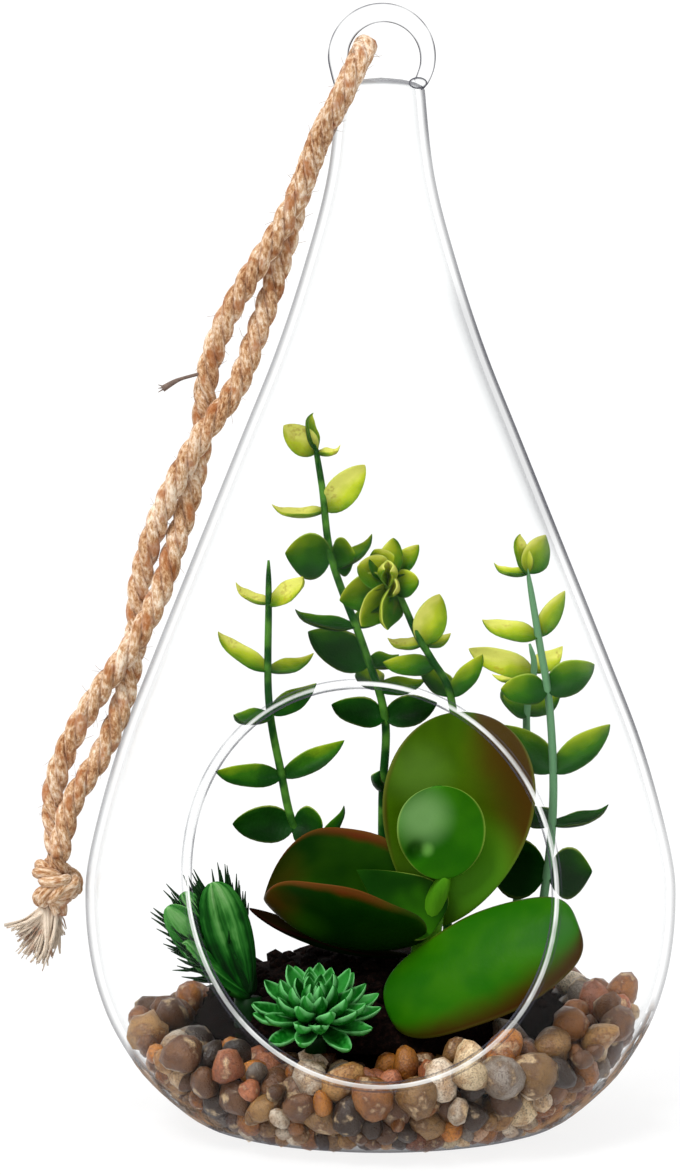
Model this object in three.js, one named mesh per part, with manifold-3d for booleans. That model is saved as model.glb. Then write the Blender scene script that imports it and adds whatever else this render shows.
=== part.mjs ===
// A hanging teardrop terrarium: a blown glass drop with an oval window in its front wall and a glass
// rod loop on its neck, a jute rope folded through the loop, and a planted bed of pebbles and soil.
// Millimetres, +Z up. The origin is the middle of the flat base; the window faces -Y.
import * as THREE from 'three';
import { mergeVertices } from 'three/addons/utils/BufferGeometryUtils.js';
import Module from 'manifold-3d';

const wasm = await Module();
wasm.setup();

// ---- Driving dimensions ------------------------------------------------------------------------

const CLEARANCE = 0.3; // between pieces that touch

// The glass drop, as [radius, height] up the outside wall from the edge of the flat base.
const DROP_WALL = [
  [27, 0], [34.5, 1], [39.8, 3], [47.8, 10], [52.3, 16], [56.5, 24], [59.4, 34], [60.6, 46],
  [59.6, 57], [54, 77.7], [46.1, 98.3], [29.5, 139.4], [21.3, 159.8], [15.3, 178], [10.9, 195],
  [8.9, 212.5],
];
const NECK_CAP_HEIGHT = 2.5;
const GLASS_WALL = 1.8;
const GLASS_FLOOR = 1.8;
const DROP_FACETS = 28;

// The window is an oval cut straight back through the front wall, leaning left at its top.
const WINDOW = { x: -2.1, z: 57.5, halfWidth: 36.2, halfHeight: 39.8, lean: THREE.MathUtils.degToRad(16) };
const RIM_RADIUS = 1.3;

// The loop is a bent rod, thick on its left limb and drawn thin where it meets the right shoulder.
const LOOP = { x: 0.4, z: 219, radius: 9.1, rodThick: 2.15, rodThin: 1.4 };

// The filling: pebbles to a surface that falls towards the window, with a soil mound in the middle.
const BED_BACK_HEIGHT = 26.5;
const BED_FRONT_DROP = 11;
const BED_FRONT_REACH = 53;
const BED_SIDE_SLOPE = 0.03;
const PEBBLE = { spacing: 11.4, radii: [5.6, 5, 4.6], inset: 5.6, sink: 3.4 };
const PEBBLE_COURSES = { first: 6.6, step: 7.6 };
const SURFACE_RINGS = [{ count: 26, inset: 5.4 }, { count: 21, inset: 14.8 }];
const MOUND = { x: 0, y: 7, z: 20, rx: 38, ry: 32, rz: 15, floor: 19 };
const ROOT_FLOOR = 20.5;

const ROPE_DIAMETER = 4.2;
const ROPE_KNOT = { x: -66.4, z: 50, height: 12, turn: 2.9, strand: 2.3 };

// ---- Small tools -------------------------------------------------------------------------------

function seededRandom(seed) {
  let state = seed;
  return () => {
    state = (Math.imul(state, 1664525) + 1013904223) >>> 0;
    return state / 4294967296;
  };
}

const vec = (point) => new THREE.Vector3(...point);

function toSolid(geometry) {
  const bare = geometry.clone();
  bare.deleteAttribute('normal');
  bare.deleteAttribute('uv');
  const merged = mergeVertices(bare, 1e-4);
  return new wasm.Manifold(new wasm.Mesh({
    numProp: 3,
    vertProperties: new Float32Array(merged.attributes.position.array),
    triVerts: new Uint32Array(merged.index.array),
  }));
}

function toGeometry(solid) {
  const mesh = solid.getMesh();
  const geometry = new THREE.BufferGeometry();
  geometry.setAttribute('position', new THREE.BufferAttribute(mesh.vertProperties, 3));
  geometry.setIndex(new THREE.BufferAttribute(mesh.triVerts, 1));
  geometry.computeVertexNormals();
  return geometry;
}

const join = (solids) => wasm.Manifold.union(solids);

// What a cut leaves loose is dropped: only the largest body stays.
function largestBody(solid) {
  const bodies = solid.decompose();
  return bodies.reduce((best, body) => (body.volume() > best.volume() ? body : best));
}

// Moves every vertex of a geometry by a function of its position.
function warp(geometry, move) {
  const place = geometry.attributes.position;
  const point = new THREE.Vector3();
  for (let i = 0; i < place.count; i += 1) {
    point.fromBufferAttribute(place, i);
    move(point);
    place.setXYZ(i, point.x, point.y, point.z);
  }
  return geometry;
}

function lathe(profile, facets) {
  const outline = profile.map(([radius, height]) => new THREE.Vector2(radius, height));
  return new THREE.LatheGeometry(outline, facets).rotateX(Math.PI / 2);
}

// A round tube of one thickness along a smooth curve through the points.
function tube(points, radius, sides, steps) {
  const section = new THREE.Shape();
  section.absarc(0, 0, radius, 0, 2 * Math.PI, false);
  return new THREE.ExtrudeGeometry(section, {
    extrudePath: new THREE.CatmullRomCurve3(points.map(vec)),
    steps,
    curveSegments: sides / 2,
  });
}

// A rod whose thickness changes along its curve: an upright cylinder bent onto it.
function taperedRod(points, radiusAt, sides, steps) {
  const curve = new THREE.CatmullRomCurve3(points.map(vec));
  const frames = curve.computeFrenetFrames(steps, false);
  const bend = (point) => {
    const share = point.y + 0.5;
    const step = Math.round(share * steps);
    const radius = radiusAt(share);
    const across = frames.normals[step].clone().multiplyScalar(-point.x * radius);
    const out = frames.binormals[step].clone().multiplyScalar(point.z * radius);
    point.copy(curve.getPointAt(share)).add(across).add(out);
  };
  return warp(new THREE.CylinderGeometry(1, 1, 1, sides, steps), bend);
}

// A fleshy leaf from a base point to a tip: a ball drawn out to the leaf's outline. The outline is
// widest at peak, its tip is sharper as taper grows, sag bows it below the line from base to tip,
// cup lifts its two edges, and face is the direction that its upper side looks in.
function leaf({ base, tip, face, width, thick, peak = 0.45, taper = 0.9, sag = 0, cup = 0,
  around = 4, along = 5, grow = 0 }) {
  const root = vec(base);
  const run = vec(tip).sub(root);
  const length = run.length();
  const forward = run.clone().normalize();
  const across = new THREE.Vector3().crossVectors(vec(face), forward).normalize();
  const up = new THREE.Vector3().crossVectors(forward, across);
  const swell = taper * peak / (1 - peak);
  const outline = (t) => ((t / peak) ** swell) * (((1 - t) / (1 - peak)) ** taper);
  const shape = (point) => {
    const t = (1 - point.y) / 2;
    const ring = Math.hypot(point.x, point.z) || 1;
    const side = point.x / ring;
    const rise = point.z / ring;
    const spread = t > 0 && t < 1 ? outline(t) : 0;
    const depth = Math.sqrt(spread);
    const lift = cup * side * side * spread - sag * 4 * t * (1 - t);
    point.copy(root).addScaledVector(forward, t * length + grow * (2 * t - 1));
    point.addScaledVector(across, side * (width / 2 * spread + grow * depth));
    point.addScaledVector(up, rise * (thick / 2 + grow) * depth + lift);
  };
  return warp(new THREE.SphereGeometry(1, around, along), shape);
}

// The upper side of a leaf on a stem: upwards, rolled towards the window by the given degrees.
function leafFace(reach, roll) {
  const forward = vec(reach).normalize();
  const upward = new THREE.Vector3(0, -0.2, 1);
  upward.addScaledVector(forward, -upward.dot(forward)).normalize();
  const sideways = new THREE.Vector3().crossVectors(forward, upward);
  if (sideways.y > 0) {
    sideways.negate();
  }
  const angle = THREE.MathUtils.degToRad(roll);
  return upward.multiplyScalar(Math.cos(angle)).addScaledVector(sideways, Math.sin(angle)).toArray();
}

// ---- Glass -------------------------------------------------------------------------------------

// The drop's outline drawn in by the given depth, closed on the axis at the base and the neck.
function dropProfile(depth, floor) {
  const [neckRadius, neckHeight] = DROP_WALL.at(-1);
  const wall = DROP_WALL.map(([radius, height], i) => {
    const [r0, z0] = DROP_WALL[Math.max(i - 1, 0)];
    const [r1, z1] = DROP_WALL[Math.min(i + 1, DROP_WALL.length - 1)];
    const slope = Math.hypot(r1 - r0, z1 - z0);
    return [radius - depth * (z1 - z0) / slope, Math.max(height + depth * (r1 - r0) / slope, floor)];
  });
  const capTop = neckHeight + NECK_CAP_HEIGHT - depth;
  return [[0, floor], ...wall, [0.7 * (neckRadius - depth), capTop - 0.7], [0, capTop]];
}

function wallRadius(height) {
  const upper = DROP_WALL.findIndex(([, z]) => z > height);
  const [r0, z0] = DROP_WALL[upper - 1];
  const [r1, z1] = DROP_WALL[upper];
  return r0 + (r1 - r0) * (height - z0) / (z1 - z0);
}

// A point of the window's outline, at the angle given and out from it by an amount in its plane.
function windowPoint(angle, out, back) {
  const u = (WINDOW.halfWidth + out) * Math.cos(angle);
  const v = (WINDOW.halfHeight + out) * Math.sin(angle);
  const x = WINDOW.x + u * Math.cos(WINDOW.lean) - v * Math.sin(WINDOW.lean);
  const z = WINDOW.z + u * Math.sin(WINDOW.lean) + v * Math.cos(WINDOW.lean);
  const radius = wallRadius(z) - GLASS_WALL / 2;
  return new THREE.Vector3(x, back - Math.sqrt(radius * radius - x * x), z);
}

function glassVessel() {
  const outside = toSolid(lathe(dropProfile(0, 0), DROP_FACETS));
  const inside = toSolid(lathe(dropProfile(GLASS_WALL, GLASS_FLOOR), DROP_FACETS));
  const cutter = new THREE.CylinderGeometry(1, 1, 60, 36)
    .scale(WINDOW.halfWidth, 1, WINDOW.halfHeight)
    .rotateY(-WINDOW.lean)
    .translate(WINDOW.x, -WINDOW.halfHeight - 10, WINDOW.z);
  // The fire-polished rim is a ring bent onto the wall along the cut edge.
  const rim = warp(new THREE.TorusGeometry(1, 0.1, 5, 36), (point) => {
    const angle = Math.atan2(point.y, point.x);
    const out = (Math.hypot(point.x, point.y) - 1) * RIM_RADIUS / 0.1;
    point.copy(windowPoint(angle, out, -point.z * RIM_RADIUS / 0.1));
  });
  return outside.subtract(inside).subtract(toSolid(cutter)).add(toSolid(rim));
}

function glassLoop() {
  const arc = [];
  for (let degrees = 198; degrees >= -30; degrees -= 19) {
    const angle = THREE.MathUtils.degToRad(degrees);
    arc.push([LOOP.x + LOOP.radius * Math.cos(angle), 0, LOOP.z + LOOP.radius * Math.sin(angle)]);
  }
  const route = [[-7.6, 0, 212.6], ...arc, [7.2, 0, 213.2]];
  const rod = taperedRod(route, (share) => LOOP.rodThick + (LOOP.rodThin - LOOP.rodThick) * share ** 2,
    8, 20);
  const neck = toSolid(lathe(dropProfile(-CLEARANCE, -CLEARANCE), DROP_FACETS));
  return largestBody(toSolid(rod).subtract(neck));
}

// ---- Filling -----------------------------------------------------------------------------------

function bedHeight(x, y) {
  const front = Math.max(-y, 0) / BED_FRONT_REACH;
  return BED_BACK_HEIGHT - BED_FRONT_DROP * front ** 1.5 + BED_SIDE_SLOPE * x;
}

function soilMound(grow) {
  const random = seededRandom(7);
  const lumps = warp(new THREE.SphereGeometry(1, 16, 8).rotateX(Math.PI / 2), (point) => {
    // The same place always gets the same lump, so that shared corners stay together.
    const wave = Math.sin(9 * point.x + 4 * point.z) * Math.cos(8 * point.y - 3 * point.x);
    const swell = 1 + 0.035 * wave;
    point.set(point.x * (MOUND.rx * swell + grow), point.y * (MOUND.ry * swell + grow),
      point.z * (MOUND.rz * swell + grow));
  }).translate(MOUND.x, MOUND.y, MOUND.z);
  const grains = [];
  for (let i = 0; i < 8; i += 1) {
    const turn = 2.4 * i;
    const spread = 0.35 + 0.45 * Math.sqrt(i / 8);
    const radius = 1.5 + 0.9 * random() + grow;
    const rise = Math.sqrt(1 - spread * spread);
    grains.push(toSolid(new THREE.IcosahedronGeometry(radius, 0).rotateZ(turn).translate(
      MOUND.x + MOUND.rx * spread * Math.cos(turn),
      MOUND.y + MOUND.ry * spread * Math.sin(turn),
      MOUND.z + MOUND.rz * rise + 0.3,
    )));
  }
  const above = new THREE.BoxGeometry(100, 100, 40).translate(0, 0, MOUND.floor - grow + 20);
  return join([toSolid(lumps), ...grains]).intersect(toSolid(above));
}

function pebbleAt(x, y, z, random) {
  const scale = 0.85 + 0.3 * random();
  const [a, b, c] = PEBBLE.radii.map((radius) => radius * scale);
  const stone = new THREE.TetrahedronGeometry(1, 1).scale(a, b, c);
  stone.rotateX(2 * Math.PI * random()).rotateZ(2 * Math.PI * random()).translate(x, y, z);
  return toSolid(stone);
}

function pebbleBed() {
  const random = seededRandom(11);
  const pebbles = [];
  // Courses of pebbles against the glass, from the floor up to the surface.
  const topCourse = BED_BACK_HEIGHT - PEBBLE.radii[1];
  for (let height = PEBBLE_COURSES.first; height < topCourse; height += PEBBLE_COURSES.step) {
    const radius = wallRadius(height - 2) - GLASS_WALL - PEBBLE.inset;
    const count = Math.round(2 * Math.PI * radius / PEBBLE.spacing);
    for (let i = 0; i < count; i += 1) {
      const angle = 2 * Math.PI * (i + 0.5 * random() + height) / count;
      const x = radius * Math.cos(angle);
      const y = radius * Math.sin(angle);
      if (height < bedHeight(x, y) - PEBBLE.sink) {
        pebbles.push(pebbleAt(x, y, height, random));
      }
    }
  }
  // Rings of pebbles over the surface, from the glass in to the edge of the soil.
  SURFACE_RINGS.forEach(({ count, inset }, ring) => {
    for (let i = 0; i < count; i += 1) {
      const angle = 2 * Math.PI * (i + 0.5 * ring + 0.4 * random()) / count;
      const front = BED_FRONT_REACH * Math.sin(angle);
      const radius = wallRadius(bedHeight(0, front) - 6) - GLASS_WALL - inset;
      const x = radius * Math.cos(angle);
      const y = radius * Math.sin(angle);
      const inMound = Math.hypot((x - MOUND.x) / MOUND.rx, (y - MOUND.y) / MOUND.ry) < 0.98;
      if (!inMound) {
        pebbles.push(pebbleAt(x, y, bedHeight(x, y) - PEBBLE.sink, random));
      }
    }
  });
  const seat = GLASS_FLOOR + CLEARANCE;
  const cavity = toSolid(lathe(dropProfile(GLASS_WALL + CLEARANCE, seat), DROP_FACETS));
  const core = toSolid(lathe(dropProfile(GLASS_WALL + 3.2, seat), 24));
  const fill = warp(new THREE.BoxGeometry(120, 120, 40, 6, 6, 1), (point) => {
    point.z = point.z > 0 ? bedHeight(point.x, point.y) - PEBBLE.sink : 0;
  });
  const heap = join([core.intersect(toSolid(fill)), ...pebbles]).intersect(cavity);
  return largestBody(heap.subtract(soilMound(CLEARANCE)));
}

// ---- Plants ------------------------------------------------------------------------------------

// Each leafy stem is a thin stalk with pointed leaves in pairs. A leaf is [across, back, up] from
// its place on the stalk to its tip, then its width and the roll of its face towards the window.
const LEAFY_STEMS = [
  {
    name: 'leafy_stem_left',
    stalk: [[-4, 6.4, ROOT_FLOOR], [-4, 6.4, 37], [-11, 7.5, 50], [-17.6, 8, 60], [-20.5, 8, 72],
      [-23, 8, 87], [-23, 8, 107], [-23, 8, 116]],
    leaves: [
      { at: 55, tips: [[7.5, -1, 10, 3, 40]] },
      { at: 61, tips: [[-13, -4, 0.5, 8, 60], [6.5, -4, 0, 8, 60]] },
      { at: 71, tips: [[-14, -3, 1, 5.6, 45], [13, 2, 7, 5, 50]] },
      { at: 84, tips: [[-8, -8, 0, 5, 20], [9, 7, 5, 5, 40]] },
      { at: 93, tips: [[-11, -2, 8, 4.6, 40], [9, 7, 2, 4.2, 25]] },
      { at: 107, tips: [[-7, 4, 3, 3.4, 10], [8, -7, 6, 5, 60]] },
    ],
  },
  {
    name: 'leafy_stem_tall',
    stalk: [[0.5, 10, ROOT_FLOOR], [0.5, 10, 40], [0.5, 10, 66], [1, 10, 83], [-3.5, 10, 98],
      [-10, 10, 116], [-12, 10, 131], [-14, 10, 143]],
    leaves: [
      { at: 68, tips: [[-1.5, -7, 4, 4.6, 30], [8, -1, 3, 5, 40]] },
      { at: 83, tips: [[-11.5, -3, 2.5, 7.5, 40], [11, -1, 3, 7, 55]] },
      { at: 89, tips: [[-3, 9, 4, 6, 10], [10, 3, 1, 4.6, 40]] },
      { at: 94, tips: [[-13, -2, 7, 8.6, 60], [6, 3, 1, 5, 30]] },
      { at: 102, tips: [[-13, -3, 3, 4.6, 20], [5, 6, 3, 5, 30]] },
      { at: 114, tips: [[8, 4, 6, 4.4, 10]] },
      { at: 116.5, tips: [[-9.5, 0.5, 1, 10, 85], [4.6, 1, 0.8, 8.5, 85]] },
      { at: 126, tips: [[-11, 3, 0, 4, 10], [8.5, -3, 10, 6.6, 80]] },
      { at: 138, tips: [[-7, -2, 6, 6, 80], [-1.5, 3, 8, 4, 30], [5, 1, 0.5, 2.6, 10]] },
    ],
  },
  {
    name: 'leafy_stem_middle',
    stalk: [[14, 9, ROOT_FLOOR], [14, 9, 40], [16, 8, 70], [14.5, 6, 88], [10.5, 4, 96], [7.5, 4, 101],
      [4, 4, 109], [0.5, 4, 115]],
    leaves: [
      { at: 88, tips: [[7, -2, 9, 4.6, 60], [-6, 4, 6, 6, 20]] },
      { at: 94.5, tips: [[-11, -2, 0.5, 5, 50]] },
      { at: 99, tips: [[3.5, -2, 11, 6.8, 80], [-7, 3, 0, 4, 20], [5.5, 4, 1, 4, 30]] },
      { at: 111, tips: [[-3.4, -4, -7.5, 6.5, 80], [-8, -3, -5.5, 6, 80], [5.5, -3, 1.5, 5, 60],
        [-10.3, -2, -0.5, 6.5, 75]] },
      { at: 113, tips: [[1.5, -2, 8.5, 4.5, 75], [6.5, -1, 6.7, 4, 60], [-6.5, -4, 2.5, 5.5, 70],
        [-3.5, -1, 6, 5, 70], [0.5, -5, 1.5, 5, 80]] },
    ],
  },
  {
    name: 'leafy_stem_right',
    stalk: [[32, 4, ROOT_FLOOR], [33, 3, 40], [35, 1, 58], [35.5, 0.5, 72], [34.5, 0.5, 88],
      [32.5, 0.5, 100], [30, 0.5, 115]],
    leaves: [
      { at: 52, tips: [[-12.5, 5, 2, 13, 80], [9, 3, 0, 11, 80]] },
      { at: 62, tips: [[12, 2, 3, 4.4, 15], [-6, 9, 2, 6, 30]] },
      { at: 73, tips: [[-10.5, 4, 9, 7.5, 50], [12, -2, 10, 6.5, 55]] },
      { at: 90, tips: [[-10, -3, 0, 7, 50], [10, -3, 5.5, 7.5, 60]] },
      { at: 101, tips: [[-12, -2, 3, 5.4, 35], [5.4, 3, 9, 4.4, 45]] },
      { at: 114, tips: [[-2.5, -2, 8.5, 4, 60], [3.2, 1, 8, 6.2, 65], [-7, 2, 1, 3, 15]] },
    ],
  },
  {
    name: 'leafy_stem_back',
    stalk: [[28, 18, ROOT_FLOOR], [28.5, 18, 40], [30.5, 16, 70], [30.5, 15, 84], [32, 14, 93],
      [31, 14, 98]],
    leaves: [
      { at: 83, tips: [[-6, -6, 6, 5.5, 60], [7, 7, 3, 5, 30]] },
      { at: 92, tips: [[-14, -3, 5, 5.8, 55], [-8, 5, -2, 3.4, 20], [6, 6, 4, 5, 30]] },
    ],
  },
];
const STALK_RADIUS = 0.95;

function pointOnStalk(stalk, height) {
  const upper = stalk.findIndex((point) => point[2] > height);
  const low = vec(stalk[upper - 1]);
  return low.lerp(vec(stalk[upper]), (height - low.z) / (stalk[upper][2] - low.z));
}

function leafyStem({ stalk, leaves }) {
  const solids = [toSolid(tube(stalk, STALK_RADIUS, 6, 11))];
  for (const { at, tips } of leaves) {
    const base = pointOnStalk(stalk, at);
    for (const [across, back, up, width, roll] of tips) {
      const reach = [across, back, up];
      solids.push(toSolid(leaf({
        base: base.toArray(),
        tip: base.clone().add(vec(reach)).toArray(),
        face: leafFace(reach, roll),
        width,
        thick: 1.3,
        sag: 0.08 * vec(reach).length(),
        cup: 0.12 * width,
        along: vec(reach).length() > 10 ? 5 : 4,
      })));
    }
  }
  return largestBody(join(solids));
}

// The paddle plant: broad spoon leaves plugged into a short thick stem, with one more stalk on it.
const PADDLE_STEM = { x: 9.5, y: -7, radius: 3.4, top: 47.5 };
const PADDLE_STALK = { route: [[9.5, -7, 42], [11, -8.2, 48.5], [13, -9.8, 53.4]], foot: 2.1, head: 1.4 };
const PADDLE_LEAVES = [
  { name: 'paddle_leaf_back', base: [12, -5.5, 42], tip: [19.5, -1, 85.5], face: [-0.1, -1, 0.12],
    width: 31, thick: 3, peak: 0.6, taper: 0.48, cup: 4, sag: -1.5 },
  { name: 'paddle_leaf_cupped', base: [13.2, -10, 52.6], tip: [11.4, -12, 72], face: [0, -1, 0.1],
    width: 18, thick: 2.2, peak: 0.56, taper: 0.42, cup: 3.4, sag: 1 },
  { name: 'paddle_leaf_left', base: [9, -9, 40], tip: [-23.8, -11, 49], face: [0.25, -0.4, 1],
    width: 25, thick: 2.8, peak: 0.52, taper: 0.5, cup: 19, sag: 5 },
  { name: 'paddle_leaf_front', base: [3.4, -21.5, 28], tip: [39.4, -27, 46.3], face: [-0.35, -0.8, 0.5],
    width: 22.5, thick: 3, peak: 0.52, taper: 0.3, cup: -1.2, sag: -1 },
  { name: 'paddle_leaf_inner', base: [9.5, -10, 42.5], tip: [-4.5, -8.5, 55], face: [0.15, -1, 0.3],
    width: 12, thick: 1.8, peak: 0.4, taper: 0.6, cup: 1.5, sag: 0.5 },
  { name: 'paddle_leaf_low', base: [8, -5.5, 36], tip: [-27, 2, 44.5], face: [0.2, 0, 1],
    width: 12, thick: 1.8, peak: 0.6, taper: 0.8, cup: 1, sag: 3 },
];

function paddleLeaf(spec, grow) {
  const small = spec.width < 15;
  return toSolid(leaf({ ...spec, around: small ? 8 : 12, along: small ? 6 : 8, grow }));
}

function paddleStem(grow) {
  const { x, y, top } = PADDLE_STEM;
  const radius = PADDLE_STEM.radius + grow;
  const profile = [[0, ROOT_FLOOR], [radius, ROOT_FLOOR], [radius, top - 4 + grow],
    [radius * 0.6, top - 1 + grow], [0, top + grow]];
  const { route: [start, bend, end], foot, head } = PADDLE_STALK;
  const stalkTop = vec(bend).lerp(vec(end), 1 + grow / 4).toArray();
  const stalk = taperedRod([start, bend, stalkTop], (share) => foot + (head - foot) * share + grow, 8, 4);
  return toSolid(lathe(profile, 10).translate(x, y, 0)).add(toSolid(stalk));
}

// A leaf ends at the stem, and where two leaves meet there the later one is cut clear of the earlier,
// by more where the earlier one is folded, because a leaf grows along its own walls there.
function paddleLeafSolid(index) {
  let solid = paddleLeaf(PADDLE_LEAVES[index], 0).subtract(paddleStem(CLEARANCE));
  for (const earlier of PADDLE_LEAVES.slice(0, index)) {
    solid = solid.subtract(paddleLeaf(earlier, CLEARANCE * (2 + earlier.cup / 8)));
  }
  return largestBody(solid);
}

// The aloe: thick blades from one heart, with teeth along both edges.
const ALOE_HEART = [-27, -12, 28.5];
const ALOE_ROOT = { top: 3.2, foot: 2.6 };
const ALOE_TOOTH = { radius: 0.75, height: 4.6, sink: 1.1 };
const ALOE_BLADES = [
  { tip: [-37.5, -13, 53], width: 10.5, teeth: 4 },
  { tip: [-47.5, -14, 46.5], width: 9, teeth: 4 },
  { tip: [-42, -3, 47], width: 8, teeth: 3 },
  { tip: [-33, -1, 48], width: 8, teeth: 2 },
  { tip: [-38, -23, 38.5], width: 7.5, teeth: 2 },
];

function aloe() {
  const heart = vec(ALOE_HEART);
  const plug = new THREE.CylinderGeometry(ALOE_ROOT.top, ALOE_ROOT.foot, heart.z - ROOT_FLOOR, 8)
    .rotateX(Math.PI / 2).translate(heart.x, heart.y, (heart.z + ROOT_FLOOR) / 2);
  const solids = [toSolid(plug)];
  for (const { tip, width, teeth } of ALOE_BLADES) {
    const run = vec(tip).sub(heart);
    const outward = new THREE.Vector3(-run.x, -run.y, 0.6 * run.length()).normalize();
    const across = new THREE.Vector3().crossVectors(outward, run).normalize();
    solids.push(toSolid(leaf({ base: ALOE_HEART, tip, face: outward.toArray(), width, thick: 3.2,
      peak: 0.42, taper: 0.6, sag: 1.2, cup: 1.4 })));
    for (let i = 1; i <= teeth; i += 1) {
      const share = 0.28 + 0.66 * i / (teeth + 0.5);
      for (const side of [-1, 1]) {
        const reach = width / 2 * Math.sqrt(1 - share) * 1.05;
        const foot = heart.clone().addScaledVector(run, share).addScaledVector(across, side * reach);
        const point = new THREE.Vector3().copy(run).normalize().multiplyScalar(1.6);
        point.addScaledVector(across, side * 2.6);
        const tooth = new THREE.ConeGeometry(ALOE_TOOTH.radius, ALOE_TOOTH.height, 3)
          .translate(0, ALOE_TOOTH.sink, 0);
        tooth.applyQuaternion(new THREE.Quaternion().setFromUnitVectors(
          new THREE.Vector3(0, 1, 0), point.normalize()));
        solids.push(toSolid(tooth.translate(foot.x, foot.y, foot.z)));
      }
    }
  }
  return largestBody(join(solids));
}

// The rosette: pointed leaves in tiers round a heart that leans out towards the window.
const ROSETTE = { heart: [-13.2, -30, 27.5], axis: [0, -0.42, 0.9], heartRadius: 4.6 };
const ROSETTE_ROOT = { radius: 2.4, foot: 2, back: 0.6 };
const ROSETTE_TIERS = [
  { leaves: 8, length: 14, lift: 8, width: 5.4 },
  { leaves: 7, length: 12.5, lift: 33, width: 4.8 },
  { leaves: 5, length: 10.5, lift: 56, width: 4.2 },
  { leaves: 2, length: 9, lift: 78, width: 3.2 },
];

function rosette() {
  const heart = vec(ROSETTE.heart);
  const lean = new THREE.Quaternion().setFromUnitVectors(
    new THREE.Vector3(0, 0, 1), vec(ROSETTE.axis).normalize());
  const { radius, foot, back } = ROSETTE_ROOT;
  const plug = new THREE.CylinderGeometry(radius, foot, heart.z - ROOT_FLOOR, 8)
    .rotateX(Math.PI / 2).translate(heart.x, heart.y + back, (heart.z + ROOT_FLOOR) / 2);
  const solids = [
    toSolid(plug),
    toSolid(new THREE.SphereGeometry(ROSETTE.heartRadius, 8, 6).translate(...ROSETTE.heart)),
  ];
  ROSETTE_TIERS.forEach(({ leaves, length, lift, width }, tier) => {
    for (let i = 0; i < leaves; i += 1) {
      const turn = 2 * Math.PI * (i + 0.5 * tier) / leaves;
      const rise = THREE.MathUtils.degToRad(lift);
      const reach = new THREE.Vector3(Math.cos(turn) * Math.cos(rise), Math.sin(turn) * Math.cos(rise),
        Math.sin(rise));
      const face = new THREE.Vector3(-Math.cos(turn) * Math.sin(rise), -Math.sin(turn) * Math.sin(rise),
        Math.cos(rise));
      const tip = reach.multiplyScalar(length).applyQuaternion(lean).add(heart);
      solids.push(toSolid(leaf({ base: ROSETTE.heart, tip: tip.toArray(),
        face: face.applyQuaternion(lean).toArray(), width, thick: 1.6, peak: 0.6, taper: 0.8,
        sag: 0.9, cup: 1, along: 4 })));
    }
  });
  return largestBody(join(solids));
}

// ---- Rope --------------------------------------------------------------------------------------

// The jute rope folds through the loop's eye and its two legs wind down the left side to the knot.
const ROPE_FOLD = [-3.2, 0, 221.3];
const ROPE_FRONT_LEG = [
  [-3.7, -4.4, 220.2], [-5, -7.6, 217.5], [-6.8, -8.9, 213.7], [-8.8, -8, 209.6], [-12.1, -5.2, 203.5],
  [-16, -2.8, 193.3], [-21, -2.3, 183.5], [-26.5, -1.5, 174.9], [-31.9, -0.3, 165.1], [-35.3, 1.2, 154.7],
  [-36.5, 2.5, 142.2], [-38.8, 1.5, 130.6], [-42, 0, 119.9], [-45.3, -1.3, 109.8], [-50.2, -2.5, 100.3],
  [-58.2, -0.6, 88.8], [-64, 0.4, 78.6], [-67.2, 1.6, 68.2], [-66.6, 2.6, 56],
];
const ROPE_BACK_LEG = [
  [-3.7, 4.4, 220.2], [-5, 7.6, 217.5], [-6.8, 8.9, 213.7], [-8.8, 8, 209.6], [-12.1, 5.2, 203.5],
  [-16, 2.8, 193.3], [-19, 2.3, 182.7], [-21.9, 1.5, 172.9], [-25.5, 0.3, 162.3], [-29.5, -1.2, 152.1],
  [-36.5, -2.5, 142.2], [-42.4, -1.4, 131.8], [-46.6, 0, 121.7], [-49.3, 1.3, 111.4], [-50.2, 2.5, 100.3],
  [-53, 0.6, 87.2], [-57.2, -0.4, 77], [-63.2, -1.8, 67.2], [-66.2, -2.6, 56],
];

function hangingRope() {
  const route = [...ROPE_FRONT_LEG.toReversed(), ROPE_FOLD, ...ROPE_BACK_LEG];
  return toSolid(tube(route, ROPE_DIAMETER / 2, 8, 60));
}

// The knot: both legs turn round each other in three close wraps.
function ropeKnot() {
  const { x, z, height, turn, strand } = ROPE_KNOT;
  const wraps = [[0.35, 1.9], [-0.3, -1.7], [0.1, 0]].map(([tilt, rise]) => toSolid(
    new THREE.TorusGeometry(turn, strand, 6, 9).rotateY(tilt).rotateX(tilt / 2)
      .translate(x, 0, z + rise)));
  const heart = new THREE.SphereGeometry(1, 6, 6).rotateX(Math.PI / 2)
    .scale(2.6, 2.6, height / 2 - 0.5).translate(x, 0, z);
  return largestBody(join([...wraps, toSolid(heart)]));
}

// The frayed ends fan out below the knot as loose tapering tufts.
const ROPE_TUFTS = [[-76.4, -1, 40.5], [-73.6, 2, 35.8], [-70, -1.5, 33.6], [-67.4, 1.5, 35.4],
  [-65.2, -0.5, 39.5]];

function ropeTails() {
  const root = [ROPE_KNOT.x - 1.2, 0, ROPE_KNOT.z - ROPE_KNOT.height / 2 - CLEARANCE];
  const tufts = ROPE_TUFTS.map((tip) => {
    const middle = [(root[0] + tip[0]) / 2 + 0.6, tip[1] * 0.7, (root[2] + tip[2]) / 2 - 0.8];
    const route = [[root[0], tip[1] * 0.2, root[2]], middle, tip];
    return toSolid(taperedRod(route, (share) => 2 - 1.3 * share, 5, 3));
  });
  const knotReach = ROPE_KNOT.height / 2 + CLEARANCE;
  const knot = new THREE.SphereGeometry(knotReach, 12, 10).translate(ROPE_KNOT.x, 0, ROPE_KNOT.z);
  return largestBody(join(tufts).subtract(toSolid(knot)));
}

// ---- Assembly ----------------------------------------------------------------------------------

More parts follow.
